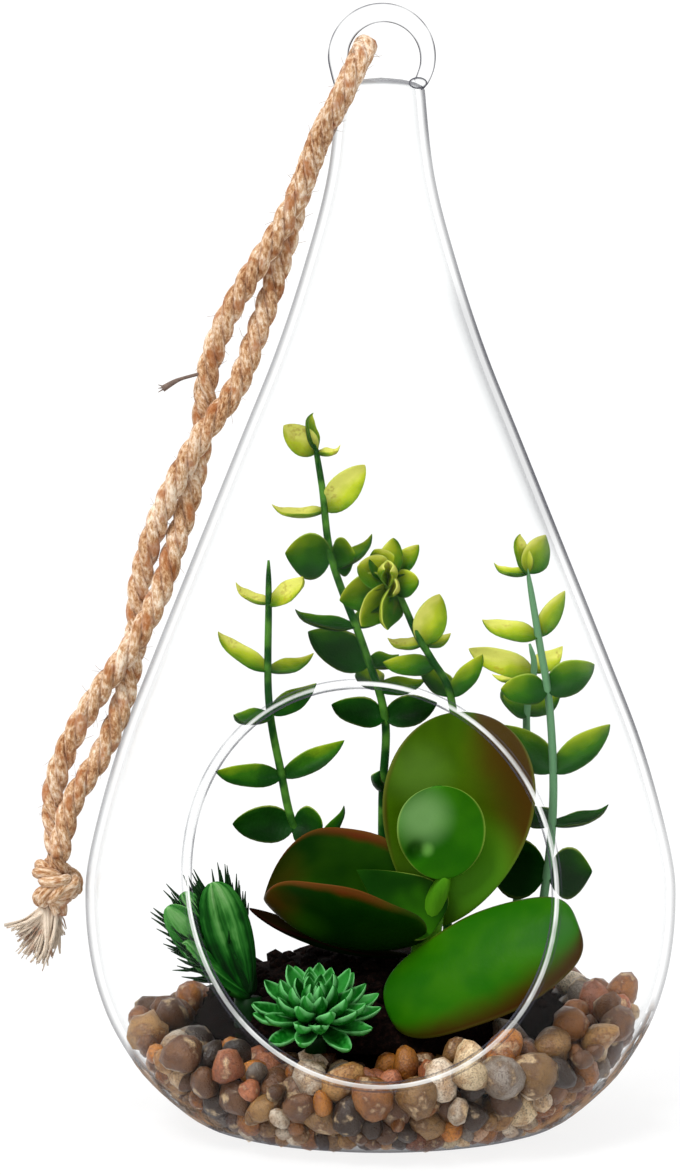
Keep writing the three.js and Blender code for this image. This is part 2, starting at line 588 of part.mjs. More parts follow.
const LOOKS = {
  glass: { color: 0xe8f0f2, roughness: 0.05, metalness: 0 },
  pebble: { color: 0x9a8466, roughness: 0.6, metalness: 0 },
  soil: { color: 0x2c1d17, roughness: 0.95, metalness: 0 },
  leafGreen: { color: 0x4f8a24, roughness: 0.5, metalness: 0 },
  paddleGreen: { color: 0x3c7a1c, roughness: 0.4, metalness: 0 },
  aloeGreen: { color: 0x2a6a2c, roughness: 0.5, metalness: 0 },
  rosetteGreen: { color: 0x1f7d46, roughness: 0.5, metalness: 0 },
  jute: { color: 0xbe9a6c, roughness: 0.9, metalness: 0 },
};

const terrarium = new THREE.Group();

function addPiece(name, solid, look) {
  const mesh = new THREE.Mesh(toGeometry(solid), new THREE.MeshStandardMaterial(LOOKS[look]));
  mesh.name = name;
  terrarium.add(mesh);
}

// A plain hole in the soil for a root of the given radius.
function rootHole(x, y, radius) {
  const depth = MOUND.z + MOUND.rz;
  const sides = 8;
  const bore = (radius + CLEARANCE) / Math.cos(Math.PI / sides);
  return toSolid(new THREE.CylinderGeometry(bore, bore, depth, sides)
    .rotateX(Math.PI / 2).translate(x, y, ROOT_FLOOR - CLEARANCE + depth / 2));
}

const roots = [
  rootHole(PADDLE_STEM.x, PADDLE_STEM.y, PADDLE_STEM.radius),
  rootHole(ALOE_HEART[0], ALOE_HEART[1], ALOE_ROOT.top + 0.2),
  rootHole(ROSETTE.heart[0], ROSETTE.heart[1] + ROSETTE_ROOT.back, ROSETTE_ROOT.radius),
  ...LEAFY_STEMS.map(({ stalk }) => rootHole(stalk[0][0], stalk[0][1], STALK_RADIUS + 0.4)),
];

// The lowest paddle leaf presses a shallow dent into the soil and the pebbles before it.
const frontLeaf = PADDLE_LEAVES.find(({ name }) => name === 'paddle_leaf_front');
const frontLeafDent = paddleLeaf(frontLeaf, 2 * CLEARANCE);

addPiece('glass_vessel', glassVessel(), 'glass');
addPiece('glass_loop', glassLoop(), 'glass');
addPiece('pebble_bed', largestBody(pebbleBed().subtract(join([...roots, frontLeafDent]))), 'pebble');
addPiece('soil_mound', largestBody(soilMound(0).subtract(join([...roots, frontLeafDent]))), 'soil');
addPiece('paddle_stem', paddleStem(0), 'paddleGreen');
PADDLE_LEAVES.forEach(({ name }, index) => addPiece(name, paddleLeafSolid(index), 'paddleGreen'));
LEAFY_STEMS.forEach((stem) => addPiece(stem.name, leafyStem(stem), 'leafGreen'));
addPiece('aloe', aloe(), 'aloeGreen');
addPiece('rosette', rosette(), 'rosetteGreen');
addPiece('hanging_rope', hangingRope(), 'jute');
addPiece('rope_knot', ropeKnot(), 'jute');
addPiece('rope_tails', ropeTails(), 'jute');

export default terrarium;
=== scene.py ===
import math
import random

import bmesh
import bpy
import numpy as np
from mathutils import Matrix, Quaternion, Vector, noise


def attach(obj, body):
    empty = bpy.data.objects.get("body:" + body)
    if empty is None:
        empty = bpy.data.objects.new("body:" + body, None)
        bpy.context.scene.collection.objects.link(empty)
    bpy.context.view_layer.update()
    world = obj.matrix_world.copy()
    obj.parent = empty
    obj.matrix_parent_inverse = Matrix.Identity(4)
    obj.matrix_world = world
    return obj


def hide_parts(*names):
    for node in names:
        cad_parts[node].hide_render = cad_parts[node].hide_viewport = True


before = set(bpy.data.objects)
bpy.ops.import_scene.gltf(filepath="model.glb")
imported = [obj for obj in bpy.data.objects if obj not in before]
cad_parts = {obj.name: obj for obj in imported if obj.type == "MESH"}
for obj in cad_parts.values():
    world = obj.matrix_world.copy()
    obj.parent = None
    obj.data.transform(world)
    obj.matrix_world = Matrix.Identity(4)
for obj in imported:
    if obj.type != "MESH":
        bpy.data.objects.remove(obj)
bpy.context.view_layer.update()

# ---- Camera ------------------------------------------------------------------------------------
# The photograph looks level at the drop from straight in front, a little above it, from about a
# metre away, so that the loop's eye and the flat base both show nearly side-on.
MM = 0.001
CAMERA_AIM = Vector((-8.3, 0, 111.2)) * MM
CAMERA_DISTANCE = 1.1
CAMERA_PITCH = math.radians(6)
CAMERA_LENS = 164.85


def placed_object(name, data):
    """An object with the given data, linked into the scene."""
    made = bpy.data.objects.new(name, data)
    bpy.context.collection.objects.link(made)
    return made


camera_data = bpy.data.cameras.new("camera")
camera_data.lens = CAMERA_LENS
camera = placed_object("camera", camera_data)
away = Vector((0, -math.cos(CAMERA_PITCH), math.sin(CAMERA_PITCH)))
camera.location = CAMERA_AIM + away * CAMERA_DISTANCE
camera.rotation_euler = (-away).to_track_quat("-Z", "Y").to_euler()
bpy.context.scene.camera = camera


# ---- Jute rope ---------------------------------------------------------------------------------
# One length of three-strand jute, folded through the loop's eye. Its two legs wind loosely round
# each other down the left of the glass to a knot. Each leg is three round strands laid in a helix.
FULL_TURN = 2 * math.pi
ROPE_DIAMETER = 4.2
ROPE_LOOSENESS = 0.6
ROPE_LAY = 15.0
ROPE_STEP = 0.9
STRAND_PRESS = 1.09
STRAND_SIDES = 10
ROPE_FOLD = (-3.2, 0, 221.3)
ROPE_FRONT_LEG = [
    (-3.7, -4.4, 220.2), (-5, -7.6, 217.5), (-6.8, -8.9, 213.7), (-8.8, -8, 209.6),
    (-12.1, -5.2, 203.5), (-16, -2.8, 193.3), (-21, -2.3, 183.5), (-26.5, -1.5, 174.9),
    (-31.9, -0.3, 165.1), (-35.3, 1.2, 154.7), (-36.5, 2.5, 142.2), (-38.8, 1.5, 130.6),
    (-42, 0, 119.9), (-45.3, -1.3, 109.8), (-50.2, -2.5, 100.3), (-58.2, -0.6, 88.8),
    (-64, 0.4, 78.6), (-67.2, 1.6, 68.2), (-66.6, 2.6, 56),
]
ROPE_BACK_LEG = [
    (-3.7, 4.4, 220.2), (-5, 7.6, 217.5), (-6.8, 8.9, 213.7), (-8.8, 8, 209.6),
    (-12.1, 5.2, 203.5), (-16, 2.8, 193.3), (-19, 2.3, 182.7), (-21.9, 1.5, 172.9),
    (-25.5, 0.3, 162.3), (-29.5, -1.2, 152.1), (-36.5, -2.5, 142.2), (-42.4, -1.4, 131.8),
    (-46.6, 0, 121.7), (-49.3, 1.3, 111.4), (-50.2, 2.5, 100.3), (-53, 0.6, 87.2),
    (-57.2, -0.4, 77), (-63.2, -1.8, 67.2), (-66.2, -2.6, 56),
]
KNOT_CENTRE = Vector((-66.4, 0, 50))


class Value:
    """One output of a shader node, so that shader maths reads as plain arithmetic."""

    def __init__(self, finish, output):
        self.finish = finish
        self.output = output

    def maths(self, operation, *values):
        return self.finish.node("ShaderNodeMath", dict(enumerate(values)), operation=operation)

    def __add__(self, other):
        return self.maths("ADD", self, other)

    def __sub__(self, other):
        return self.maths("SUBTRACT", self, other)

    def __mul__(self, other):
        return self.maths("MULTIPLY", self, other)

    def __truediv__(self, other):
        return self.maths("DIVIDE", self, other)

    def __pow__(self, other):
        return self.maths("POWER", self, other)

    def __rsub__(self, other):
        return self.maths("SUBTRACT", other, self)

    __radd__ = __add__
    __rmul__ = __mul__

    def most(self, other):
        return self.maths("MAXIMUM", self, other)

    def step(self, low, high):
        """0 below low, 1 above high and smooth between."""
        return self.finish.node("ShaderNodeMapRange", {"Value": self, "From Min": low, "From Max": high},
                                interpolation_type="SMOOTHSTEP")


class Finish:
    """A material, with one way to add a node to it."""

    def __init__(self, name):
        self.material = bpy.data.materials.new(name)
        self.material.use_nodes = True
        self.tree = self.material.node_tree
        self.surface = self.tree.nodes["Principled BSDF"]

    def node(self, kind, inputs=(), out=0, stops=(), **settings):
        made = self.tree.nodes.new(kind)
        for name, setting in settings.items():
            setattr(made, name, setting)
        if stops:
            ramp = made.color_ramp.elements
            for place, colour in stops[1:-1]:
                ramp.new(place).color = colour
            ramp[0].position, ramp[0].color = stops[0]
            ramp[-1].position, ramp[-1].color = stops[-1]
        self.set(made, inputs)
        return Value(self, made.outputs[out])

    def set(self, made, inputs):
        for name, value in dict(inputs).items():
            if isinstance(value, Value):
                self.tree.links.new(value.output, made.inputs[name])
            else:
                made.inputs[name].default_value = value

    def distance(self, place, centre):
        """How far the place lies from the centre, in millimetres."""
        return self.node("ShaderNodeVectorMath", {0: place, 1: centre}, out="Value", operation="DISTANCE")

    def place(self, stretch=(1, 1, 1)):
        """The object's own coordinates in millimetres, stretched along its axes."""
        coordinates = self.node("ShaderNodeTexCoord", out="Object")
        scale = tuple(share / MM for share in stretch)
        return self.node("ShaderNodeMapping", {"Vector": coordinates, "Scale": scale})

    def noise(self, vector, scale, detail=3.0, roughness=0.55):
        return self.node("ShaderNodeTexNoise", {"Vector": vector, "Scale": scale, "Detail": detail,
                                                "Roughness": roughness})

    def mix(self, share, first, second, mode="MIX"):
        return self.node("ShaderNodeMix", {0: share, 6: first, 7: second}, out=2, data_type="RGBA",
                         blend_type=mode)

    def attribute(self, name, out="Fac"):
        return self.node("ShaderNodeAttribute", out=out, attribute_name=name)

    def bump(self, height, depth):
        """A surface that rises by the depth in millimetres where height is 1."""
        return self.node("ShaderNodeBump", {"Height": height, "Distance": depth * MM})


def paint(red, green, blue):
    """A colour as the eye names it, 0 to 255, in the linear light of the shaders."""
    shares = (red / 255, green / 255, blue / 255)
    return (*(((c + 0.055) / 1.055) ** 2.4 if c > 0.0405 else c / 12.92 for c in shares), 1.0)


def smooth_route(points, step, before=None, after=None):
    """Points close together on a smooth curve through the given ones, about step apart."""
    knots = [Vector(point) for point in points]
    start = Vector(before) if before else knots[0] * 2 - knots[1]
    end = Vector(after) if after else knots[-1] * 2 - knots[-2]
    knots = [start, *knots, end]
    route = [knots[1]]
    for a, b, c, d in zip(knots, knots[1:], knots[2:], knots[3:]):
        count = max(1, round((c - b).length / step))
        for i in range(1, count + 1):
            t = i / count
            bend = (2 * a - 5 * b + 4 * c - d) * t ** 2 + (3 * b - a - 3 * c + d) * t ** 3
            route.append(b + ((c - a) * t + bend) / 2)
    return route


def frames_along(route, side):
    """For each point: the direction onwards and two directions square to it that don't twist."""
    frames = []
    for i, point in enumerate(route):
        onward = (route[min(i + 1, len(route) - 1)] - route[max(i - 1, 0)]).normalized()
        side = (side - onward * side.dot(onward)).normalized()
        frames.append((point, onward, side, onward.cross(side)))
    return frames


def add_tube(bm, route, radius, sides, side=Vector((1, 0, 0))):
    """A closed round tube along the route. radius is a number, or a function of the share along."""
    texture = bm.loops.layers.uv.verify()
    last = len(route) - 1
    made = bmesh.ops.create_grid(bm, x_segments=sides, y_segments=last, size=0.5, calc_uvs=True)
    frames = frames_along(route, side)
    walked = [0.0]
    for a, b in zip(route, route[1:]):
        walked.append(walked[-1] + (b - a).length)
    faces = {face for vertex in made["verts"] for face in vertex.link_faces}
    for vertex in made["verts"]:
        share = vertex.co.y + 0.5
        angle = FULL_TURN * (vertex.co.x + 0.5)
        point, _, across, up = frames[round(share * last)]
        reach = radius(share) if callable(radius) else radius
        vertex.co = point + (across * math.cos(angle) + up * math.sin(angle)) * reach
    for face in faces:
        for loop in face.loops:
            loop[texture].uv.y *= walked[-1]
    bmesh.ops.remove_doubles(bm, verts=made["verts"], dist=1e-5)
    left = [vertex for vertex in made["verts"] if vertex.is_valid]
    open_edges = {edge for vertex in left for edge in vertex.link_edges if edge.is_boundary}
    bmesh.ops.holes_fill(bm, edges=[*open_edges])


def add_strands(bm, route, side, width, lay):
    """Three round strands laid round the route, as wide together as the width given."""
    strand = width / 2 / (1 + 2 / math.sqrt(3))
    offset = width / 2 - strand
    frames = frames_along(route, side)
    for k in range(3):
        line = []
        walked = 0.0
        for i, (point, _, across, up) in enumerate(frames):
            walked += (point - frames[i - 1][0]).length if i else 0.0
            angle = -FULL_TURN * (k / 3 + walked / lay)
            line.append(point + (across * math.cos(angle) + up * math.sin(angle)) * offset)
        add_tube(bm, line, strand * STRAND_PRESS, STRAND_SIDES, side=side)


def mesh_object(bm, name):
    """An object made from the bmesh, which is then freed."""
    mesh = bpy.data.meshes.new(name)
    bm.to_mesh(mesh)
    bm.free()
    return placed_object(name, mesh)


pieces_by_slot = {}


def finish_piece(bm, name, finish, slot, *nodes):
    """Turns a mesh worked out in millimetres into a named piece that rides on the terrarium."""
    bmesh.ops.recalc_face_normals(bm, faces=bm.faces)
    bmesh.ops.scale(bm, vec=(MM, MM, MM), verts=bm.verts)
    for face in bm.faces:
        face.smooth = True
    piece = mesh_object(bm, name)
    for made in finish if isinstance(finish, list) else [finish]:
        piece.data.materials.append(made.material)
    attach(piece, "root")
    if nodes:
        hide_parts(*nodes)
    pieces_by_slot.setdefault(slot, []).append(piece)
    return piece


def jute_finish(name, lift):
    """Jute yarn: fibres along the strands, straw and orange-brown by patches. lift lightens it as painted
    light.
    """
    yarn = Finish(name)
    along_yarn = yarn.node("ShaderNodeMapping", {
        "Vector": yarn.node("ShaderNodeTexCoord", out="UV"), "Scale": (5.0, 0.35, 1.0),
        "Rotation": (0, 0, math.radians(14))})
    place = yarn.place()
    fibre = yarn.noise(along_yarn, 2.2, detail=5.0, roughness=0.7)
    patch = yarn.noise(place, 0.16, detail=2.0)
    burnt = yarn.noise(place, 0.3, detail=1.0)
    lightness = fibre * 0.9 + patch * 0.4 + (lift - 0.09)
    straw = yarn.node("ShaderNodeValToRGB", {"Fac": lightness}, stops=[
        (0.33, paint(88, 44, 14)), (0.44, paint(154, 98, 48)), (0.55, paint(206, 162, 118)),
        (0.7, paint(252, 232, 208))])
    colour = yarn.mix(burnt.step(0.54, 0.7) * 0.7, straw, paint(166, 92, 26))
    yarn.set(yarn.surface, {"Base Color": colour, "Roughness": 0.9, "Sheen Weight": 0.2,
                            "Normal": yarn.bump(fibre, 0.6)})
    return yarn


jute = jute_finish("jute", lift=0.0)
rope_legs = []
for leg_name, leg_points, other_leg in (("rope_front_leg", ROPE_FRONT_LEG, ROPE_BACK_LEG),
                                        ("rope_back_leg", ROPE_BACK_LEG, ROPE_FRONT_LEG)):
    leg_route = smooth_route([ROPE_FOLD, *leg_points], ROPE_STEP, before=other_leg[0])
    rope_mesh = bmesh.new()
    add_strands(rope_mesh, leg_route, Vector((1, 0, 0)), ROPE_DIAMETER + ROPE_LOOSENESS, ROPE_LAY)
    rope_legs.append((finish_piece(rope_mesh, leg_name, jute, "jute", "hanging_rope"), leg_route))

# The knot: three tight turns round the two legs, which run on through its middle.
KNOT_LAY, KNOT_STEPS = 9.0, 40
CORE_WIDTH, CORE_LAY = 3.9, 12.0
KNOT_TURNS = [
    {"radius": 3.35, "rise": 1.5, "tilt": 24, "lean": 10, "width": 4.4},
    {"radius": 3.2, "rise": -1.9, "tilt": -20, "lean": -14, "width": 4.3},
    {"radius": 2.5, "rise": -0.3, "tilt": 68, "lean": 30, "width": 4.2},
]
knot_mesh = bmesh.new()
for turn in KNOT_TURNS:
    tilt = Quaternion((0, 1, 0), math.radians(turn["tilt"]))
    tip_over = tilt @ Quaternion((1, 0, 0), math.radians(turn["lean"]))
    ring = []
    for i in range(KNOT_STEPS + 1):
        angle = FULL_TURN * i / KNOT_STEPS
        flat = Vector((math.cos(angle), math.sin(angle), 0)) * turn["radius"]
        ring.append(KNOT_CENTRE + tip_over @ flat + Vector((0, 0, turn["rise"])))
    add_strands(knot_mesh, ring, Vector((0, 0, 1)), turn["width"], KNOT_LAY)
for x in (-1.1, 1.1):
    core = smooth_route([KNOT_CENTRE + Vector((x * 0.4, -x * 2.2, 6.4)), KNOT_CENTRE,
                         KNOT_CENTRE + Vector((-x - 1.0, x, -6.2))], 0.7)
    add_strands(knot_mesh, core, Vector((1, 0, 0)), CORE_WIDTH, CORE_LAY)
rope_knot = finish_piece(knot_mesh, "rope_knot_turns", jute, "jute", "rope_knot")

# The two cut ends fray below the knot into coarse yarns and fine fibres, paler than the rope: the
# same jute, lightened as painted light against the thin yarns' own shade.
TAIL_TOP = KNOT_CENTRE + Vector((-1.2, 0, -5.2))
TAIL_TIPS = [(-76.0, -1, 40.6), (-73.4, 2, 36.3), (-70.2, -1.5, 34.3), (-67.5, 1.5, 36.0),
             (-65.6, -0.5, 40.2), (-71.8, 0, 35.2), (-68.8, -1.6, 34.8), (-74.8, 1, 38.6)]
TAIL_YARNS = [0.52] * 7 + [0.26] * 9
rng = random.Random(4)
tails_mesh = bmesh.new()
for tip in TAIL_TIPS:
    for thick in TAIL_YARNS:
        spread = Vector((rng.gauss(0, 0.85), rng.gauss(0, 0.9), rng.gauss(0, 0.8)))
        aside = Vector((rng.uniform(-1.7, 1.7), rng.uniform(-1.5, 1.5), rng.uniform(0, 1.2)))
        root = TAIL_TOP + aside
        end = Vector(tip) + spread
        middle = root.lerp(end, 0.55) + Vector((rng.gauss(0.2, 0.4), rng.gauss(0, 0.4), -0.6))
        add_tube(tails_mesh, smooth_route([root, middle, end], 2.0),
                 lambda share, thick=thick: thick * (1.1 - 0.7 * share), 5)
# The frayed ends are the same jute, lightened: painted light against their own shade.
jute_frayed = jute_finish("jute_frayed", lift=0.22)
rope_tails = finish_piece(tails_mesh, "rope_frayed_ends", jute_frayed, "jute", "rope_tails")

# Loose fibres stand off the whole rope, and one short brown splinter sticks out of the front leg.
FIBRES_A_LEG = 170
SPLINTER = [(-35.6, 0.6, 155.2), (-38.4, -0.6, 154.6), (-41.4, -1.2, 153.7), (-44.4, -1.6, 152.0)]
fuzz_mesh = bmesh.new()
for _, leg_route in rope_legs:
    for _ in range(FIBRES_A_LEG):
        i = rng.randrange(4, len(leg_route) - 4)
        onward = (leg_route[i + 1] - leg_route[i - 1]).normalized()
        out = onward.cross(Vector((rng.gauss(0, 1), rng.gauss(0, 1), rng.gauss(0, 1)))).normalized()
        base = leg_route[i] + out * 1.5
        reach = rng.uniform(0.8, 2.6)
        tip = base + out * reach + onward * rng.uniform(-2.5, 2.5)
        middle = base.lerp(tip, 0.5) + onward * rng.uniform(-0.6, 0.6)
        add_tube(fuzz_mesh, [base, middle, tip], lambda share: 0.07 - 0.04 * share, 3)
rope_fuzz = finish_piece(fuzz_mesh, "rope_loose_fibres", jute, "jute")
splinter_mesh = bmesh.new()
add_tube(splinter_mesh, smooth_route(SPLINTER, 0.6),
         lambda share: 0.36 + 0.6 * max(share - 0.55, 0) ** 0.7, 7)
splinter_end = Vector(SPLINTER[-1])
for lean in (-0.7, 0.1, 0.8):
    frayed = [splinter_end + Vector((0.8, 0, 0.3)), splinter_end + Vector((-0.9, lean * 0.5, lean))]
    add_tube(splinter_mesh, frayed, lambda share: 0.26 - 0.2 * share, 5)
bark = Finish("splinter_bark")
bark_colour = bark.mix(bark.noise(bark.place(), 1.5), paint(64, 52, 50), paint(142, 120, 106))
bark.set(bark.surface, {"Base Color": bark_colour, "Roughness": 0.9})
rope_splinter = finish_piece(splinter_mesh, "rope_splinter", bark, "jute")

rope_extras = [rope_knot, rope_tails, rope_fuzz, rope_splinter]
for (leg_piece, leg_route), goes_with in zip(rope_legs, (rope_extras, [])):
    path = [point * MM for point in leg_route]
    length = sum((b - a).length for a, b in zip(path, path[1:]))

# ---- Glass drop --------------------------------------------------------------------------------
# A thin blown drop that stands on a small ground flat. Its oval window is cut straight back through
# the front wall, and the cut edge is melted to a round bead. The wall is clear: only its edges show,
# as painted lines of shade, and the bead as a painted gleam between painted dark rims.
DROP_WALL = [
    (27, 0), (34.5, 1), (39.8, 3), (47.8, 10), (52.3, 16), (56.5, 24), (59.4, 34), (60.6, 46),
    (59.6, 57), (54, 77.7), (46.1, 98.3), (29.5, 139.4), (21.3, 159.8), (15.3, 178), (10.9, 195),
    (8.9, 212.5),
]
GLASS_WALL = 1.8
WINDOW_X, WINDOW_Z = -2.1, 57.5
WINDOW_HALF_WIDTH, WINDOW_HALF_HEIGHT = 36.2, 39.8
WINDOW_LEAN = math.radians(16)
BEAD_RADIUS = 1.12
WALL_STEP, WALL_HEADS_FOR = 2.2, (8.3, 0, 224)
DOME_ANGLES, DOME_RISE, DOME_TOP = (20, 40, 60, 75), 2.4, 2.5
SPIN_STEPS, OVAL_STEPS, BEAD_STEPS = 144, 200, 200
CLEAR = (0.995, 0.998, 0.998, 1)

wall_line = [Vector((radius, 0, height)) for radius, height in DROP_WALL]
wall_curve = smooth_route(wall_line, WALL_STEP, after=WALL_HEADS_FOR)


def wall_radius(height):
    """The outside radius of the drop at a height, or at each of many heights."""
    return np.interp(height, [p.z for p in wall_curve], [p.x for p in wall_curve])


def drop_profile(depth):
    """The drop's outline, drawn in by depth, from the middle of the base to a dome on the neck."""
    outline = [Vector((0, 0, depth))]
    for point, onward, _, _ in frames_along(wall_curve, Vector((0, 1, 0))):
        inward = Vector((-onward.z, 0, onward.x))
        outline.append(point + inward * depth)
    outline = [Vector((p.x, 0, max(p.z, depth))) for p in outline]
    neck = outline[-1]
    for angle in DOME_ANGLES:
        turn = math.radians(angle)
        outline.append(Vector((neck.x * math.cos(turn), 0, neck.z + DOME_RISE * math.sin(turn))))
    outline.append(Vector((0, 0, neck.z + DOME_TOP)))
    return outline


def spun(bm, profile, steps, skin):
    """The profile spun round the upright axis, closed, with its faces in the given material slot."""
    points = [bm.verts.new(point) for point in profile]
    edges = [bm.edges.new(pair) for pair in zip(points, points[1:])]
    old = set(bm.faces)
    bmesh.ops.spin(bm, geom=[*points, *edges], cent=(0, 0, 0), axis=(0, 0, 1), angle=FULL_TURN,
                   steps=steps, use_merge=True)
    bmesh.ops.remove_doubles(bm, verts=bm.verts, dist=1e-4)
    for face in set(bm.faces) - old:
        face.material_index = skin


def only(kind, parts):
    """Of some parts of a mesh, those of one kind."""
    return [part for part in parts if isinstance(part, kind)]


def cut_or_join(target, tool, operation):
    """Applies one exact Boolean with the tool object, which is then removed."""
    change = target.modifiers.new(operation, "BOOLEAN")
    change.operation = operation
    change.object = tool
    change.solver = "EXACT"
    bpy.context.view_layer.update()
    changed = target.evaluated_get(bpy.context.evaluated_depsgraph_get())
    result = bpy.data.meshes.new_from_object(changed)
    target.modifiers.clear()
    target.data = result
    bpy.data.objects.remove(tool)


def window_point(angle):
    """A point of the window's edge, in the middle of the glass wall."""
    u = WINDOW_HALF_WIDTH * math.cos(angle)
    v = WINDOW_HALF_HEIGHT * math.sin(angle)
    x = WINDOW_X + u * math.cos(WINDOW_LEAN) - v * math.sin(WINDOW_LEAN)
    z = WINDOW_Z + u * math.sin(WINDOW_LEAN) + v * math.cos(WINDOW_LEAN)
    radius = float(wall_radius(z)) - GLASS_WALL / 2
    return Vector((x, -math.sqrt(radius ** 2 - x ** 2), z))


# The drop and the hollow in it are spun from one outline, a wall's thickness apart.
OUTER_SKIN, INNER_SKIN, BEAD_SKIN = 0, 1, 2
shell = bmesh.new()
spun(shell, drop_profile(0), SPIN_STEPS, OUTER_SKIN)
bmesh.ops.recalc_face_normals(shell, faces=shell.faces)
hollow = bmesh.new()
spun(hollow, drop_profile(GLASS_WALL), SPIN_STEPS, INNER_SKIN)
bmesh.ops.recalc_face_normals(hollow, faces=hollow.faces)

# The window's plug: a leaning oval, drawn out forwards through the front wall.
PLUG_BACK, PLUG_LENGTH = -20, 60
plug = bmesh.new()
oval = bmesh.ops.create_circle(plug, cap_ends=True, segments=OVAL_STEPS, radius=1)["verts"]
bmesh.ops.scale(plug, vec=(WINDOW_HALF_WIDTH, WINDOW_HALF_HEIGHT, 1), verts=oval)
bmesh.ops.rotate(plug, cent=(0, 0, 0), matrix=Matrix.Rotation(WINDOW_LEAN, 3, "Z"), verts=oval)
bmesh.ops.rotate(plug, cent=(0, 0, 0), matrix=Matrix.Rotation(math.pi / 2, 3, "X"), verts=oval)
bmesh.ops.translate(plug, vec=(WINDOW_X, PLUG_BACK, WINDOW_Z), verts=oval)
pushed = bmesh.ops.extrude_face_region(plug, geom=plug.faces[:])["geom"]
bmesh.ops.translate(plug, vec=(0, -PLUG_LENGTH, 0), verts=only(bmesh.types.BMVert, pushed))
bmesh.ops.recalc_face_normals(plug, faces=plug.faces)

# The melted bead: a round ring that runs along the middle of the cut edge.
bead = bmesh.new()
bead_line = [window_point(FULL_TURN * i / BEAD_STEPS) for i in range(BEAD_STEPS)]
bead_grid = bmesh.ops.create_grid(bead, x_segments=12, y_segments=BEAD_STEPS, size=0.5)["verts"]
for vertex in bead_grid:
    i = round((vertex.co.y + 0.5) * BEAD_STEPS) % BEAD_STEPS
    angle = FULL_TURN * (vertex.co.x + 0.5)
    onward = (bead_line[(i + 1) % BEAD_STEPS] - bead_line[i - 1]).normalized()
    wall_out = Vector((bead_line[i].x, bead_line[i].y, 0)).normalized()
    wall_out = (wall_out - onward * wall_out.dot(onward)).normalized()
    across = onward.cross(wall_out)
    vertex.co = bead_line[i] + (wall_out * math.cos(angle) + across * math.sin(angle)) * BEAD_RADIUS
bmesh.ops.remove_doubles(bead, verts=bead.verts, dist=1e-3)
bmesh.ops.recalc_face_normals(bead, faces=bead.faces)
for face in bead.faces:
    face.material_index = BEAD_SKIN

# Each face keeps the slot of its own skin through the cuts and the join.
drop = mesh_object(shell, "drop_in_making")
for kind in ("outer", "inner", "bead"):
    drop.data.materials.append(bpy.data.materials.new(f"skin_{kind}"))
tools = [mesh_object(hollow, "hollow"), mesh_object(plug, "plug"), mesh_object(bead, "bead")]
for tool in tools:
    for skin in drop.data.materials:
        tool.data.materials.append(skin)
for tool, operation in zip(tools, ("DIFFERENCE", "DIFFERENCE", "UNION")):
    cut_or_join(drop, tool, operation)
drop_mesh = bmesh.new()
drop_mesh.from_mesh(drop.data)
bpy.data.objects.remove(drop)

# How dark the glass's edge line of painted shade is drawn: by height on the right, and evenly on the left.
GLASS_RIGHT_LINE = [
    (0, 0.3), (60, 0.26), (80, 0.62), (114, 0.66), (126, 0.85), (158, 0.85), (171, 0.6), (183, 0.4),
    (198, 0.36), (206, 0.62), (230, 0.6),
]
GLASS_LEFT_LINE = 0.36


def over_clear(glass, share, under):
    """Shows the glass's own painted surface by the share, and what lies under it elsewhere."""
    seen = glass.node("ShaderNodeMixShader", {
        0: share, 1: under, 2: Value(glass, glass.surface.outputs[0])})
    glass.tree.links.new(seen.output, glass.tree.nodes["Material Output"].inputs["Surface"])


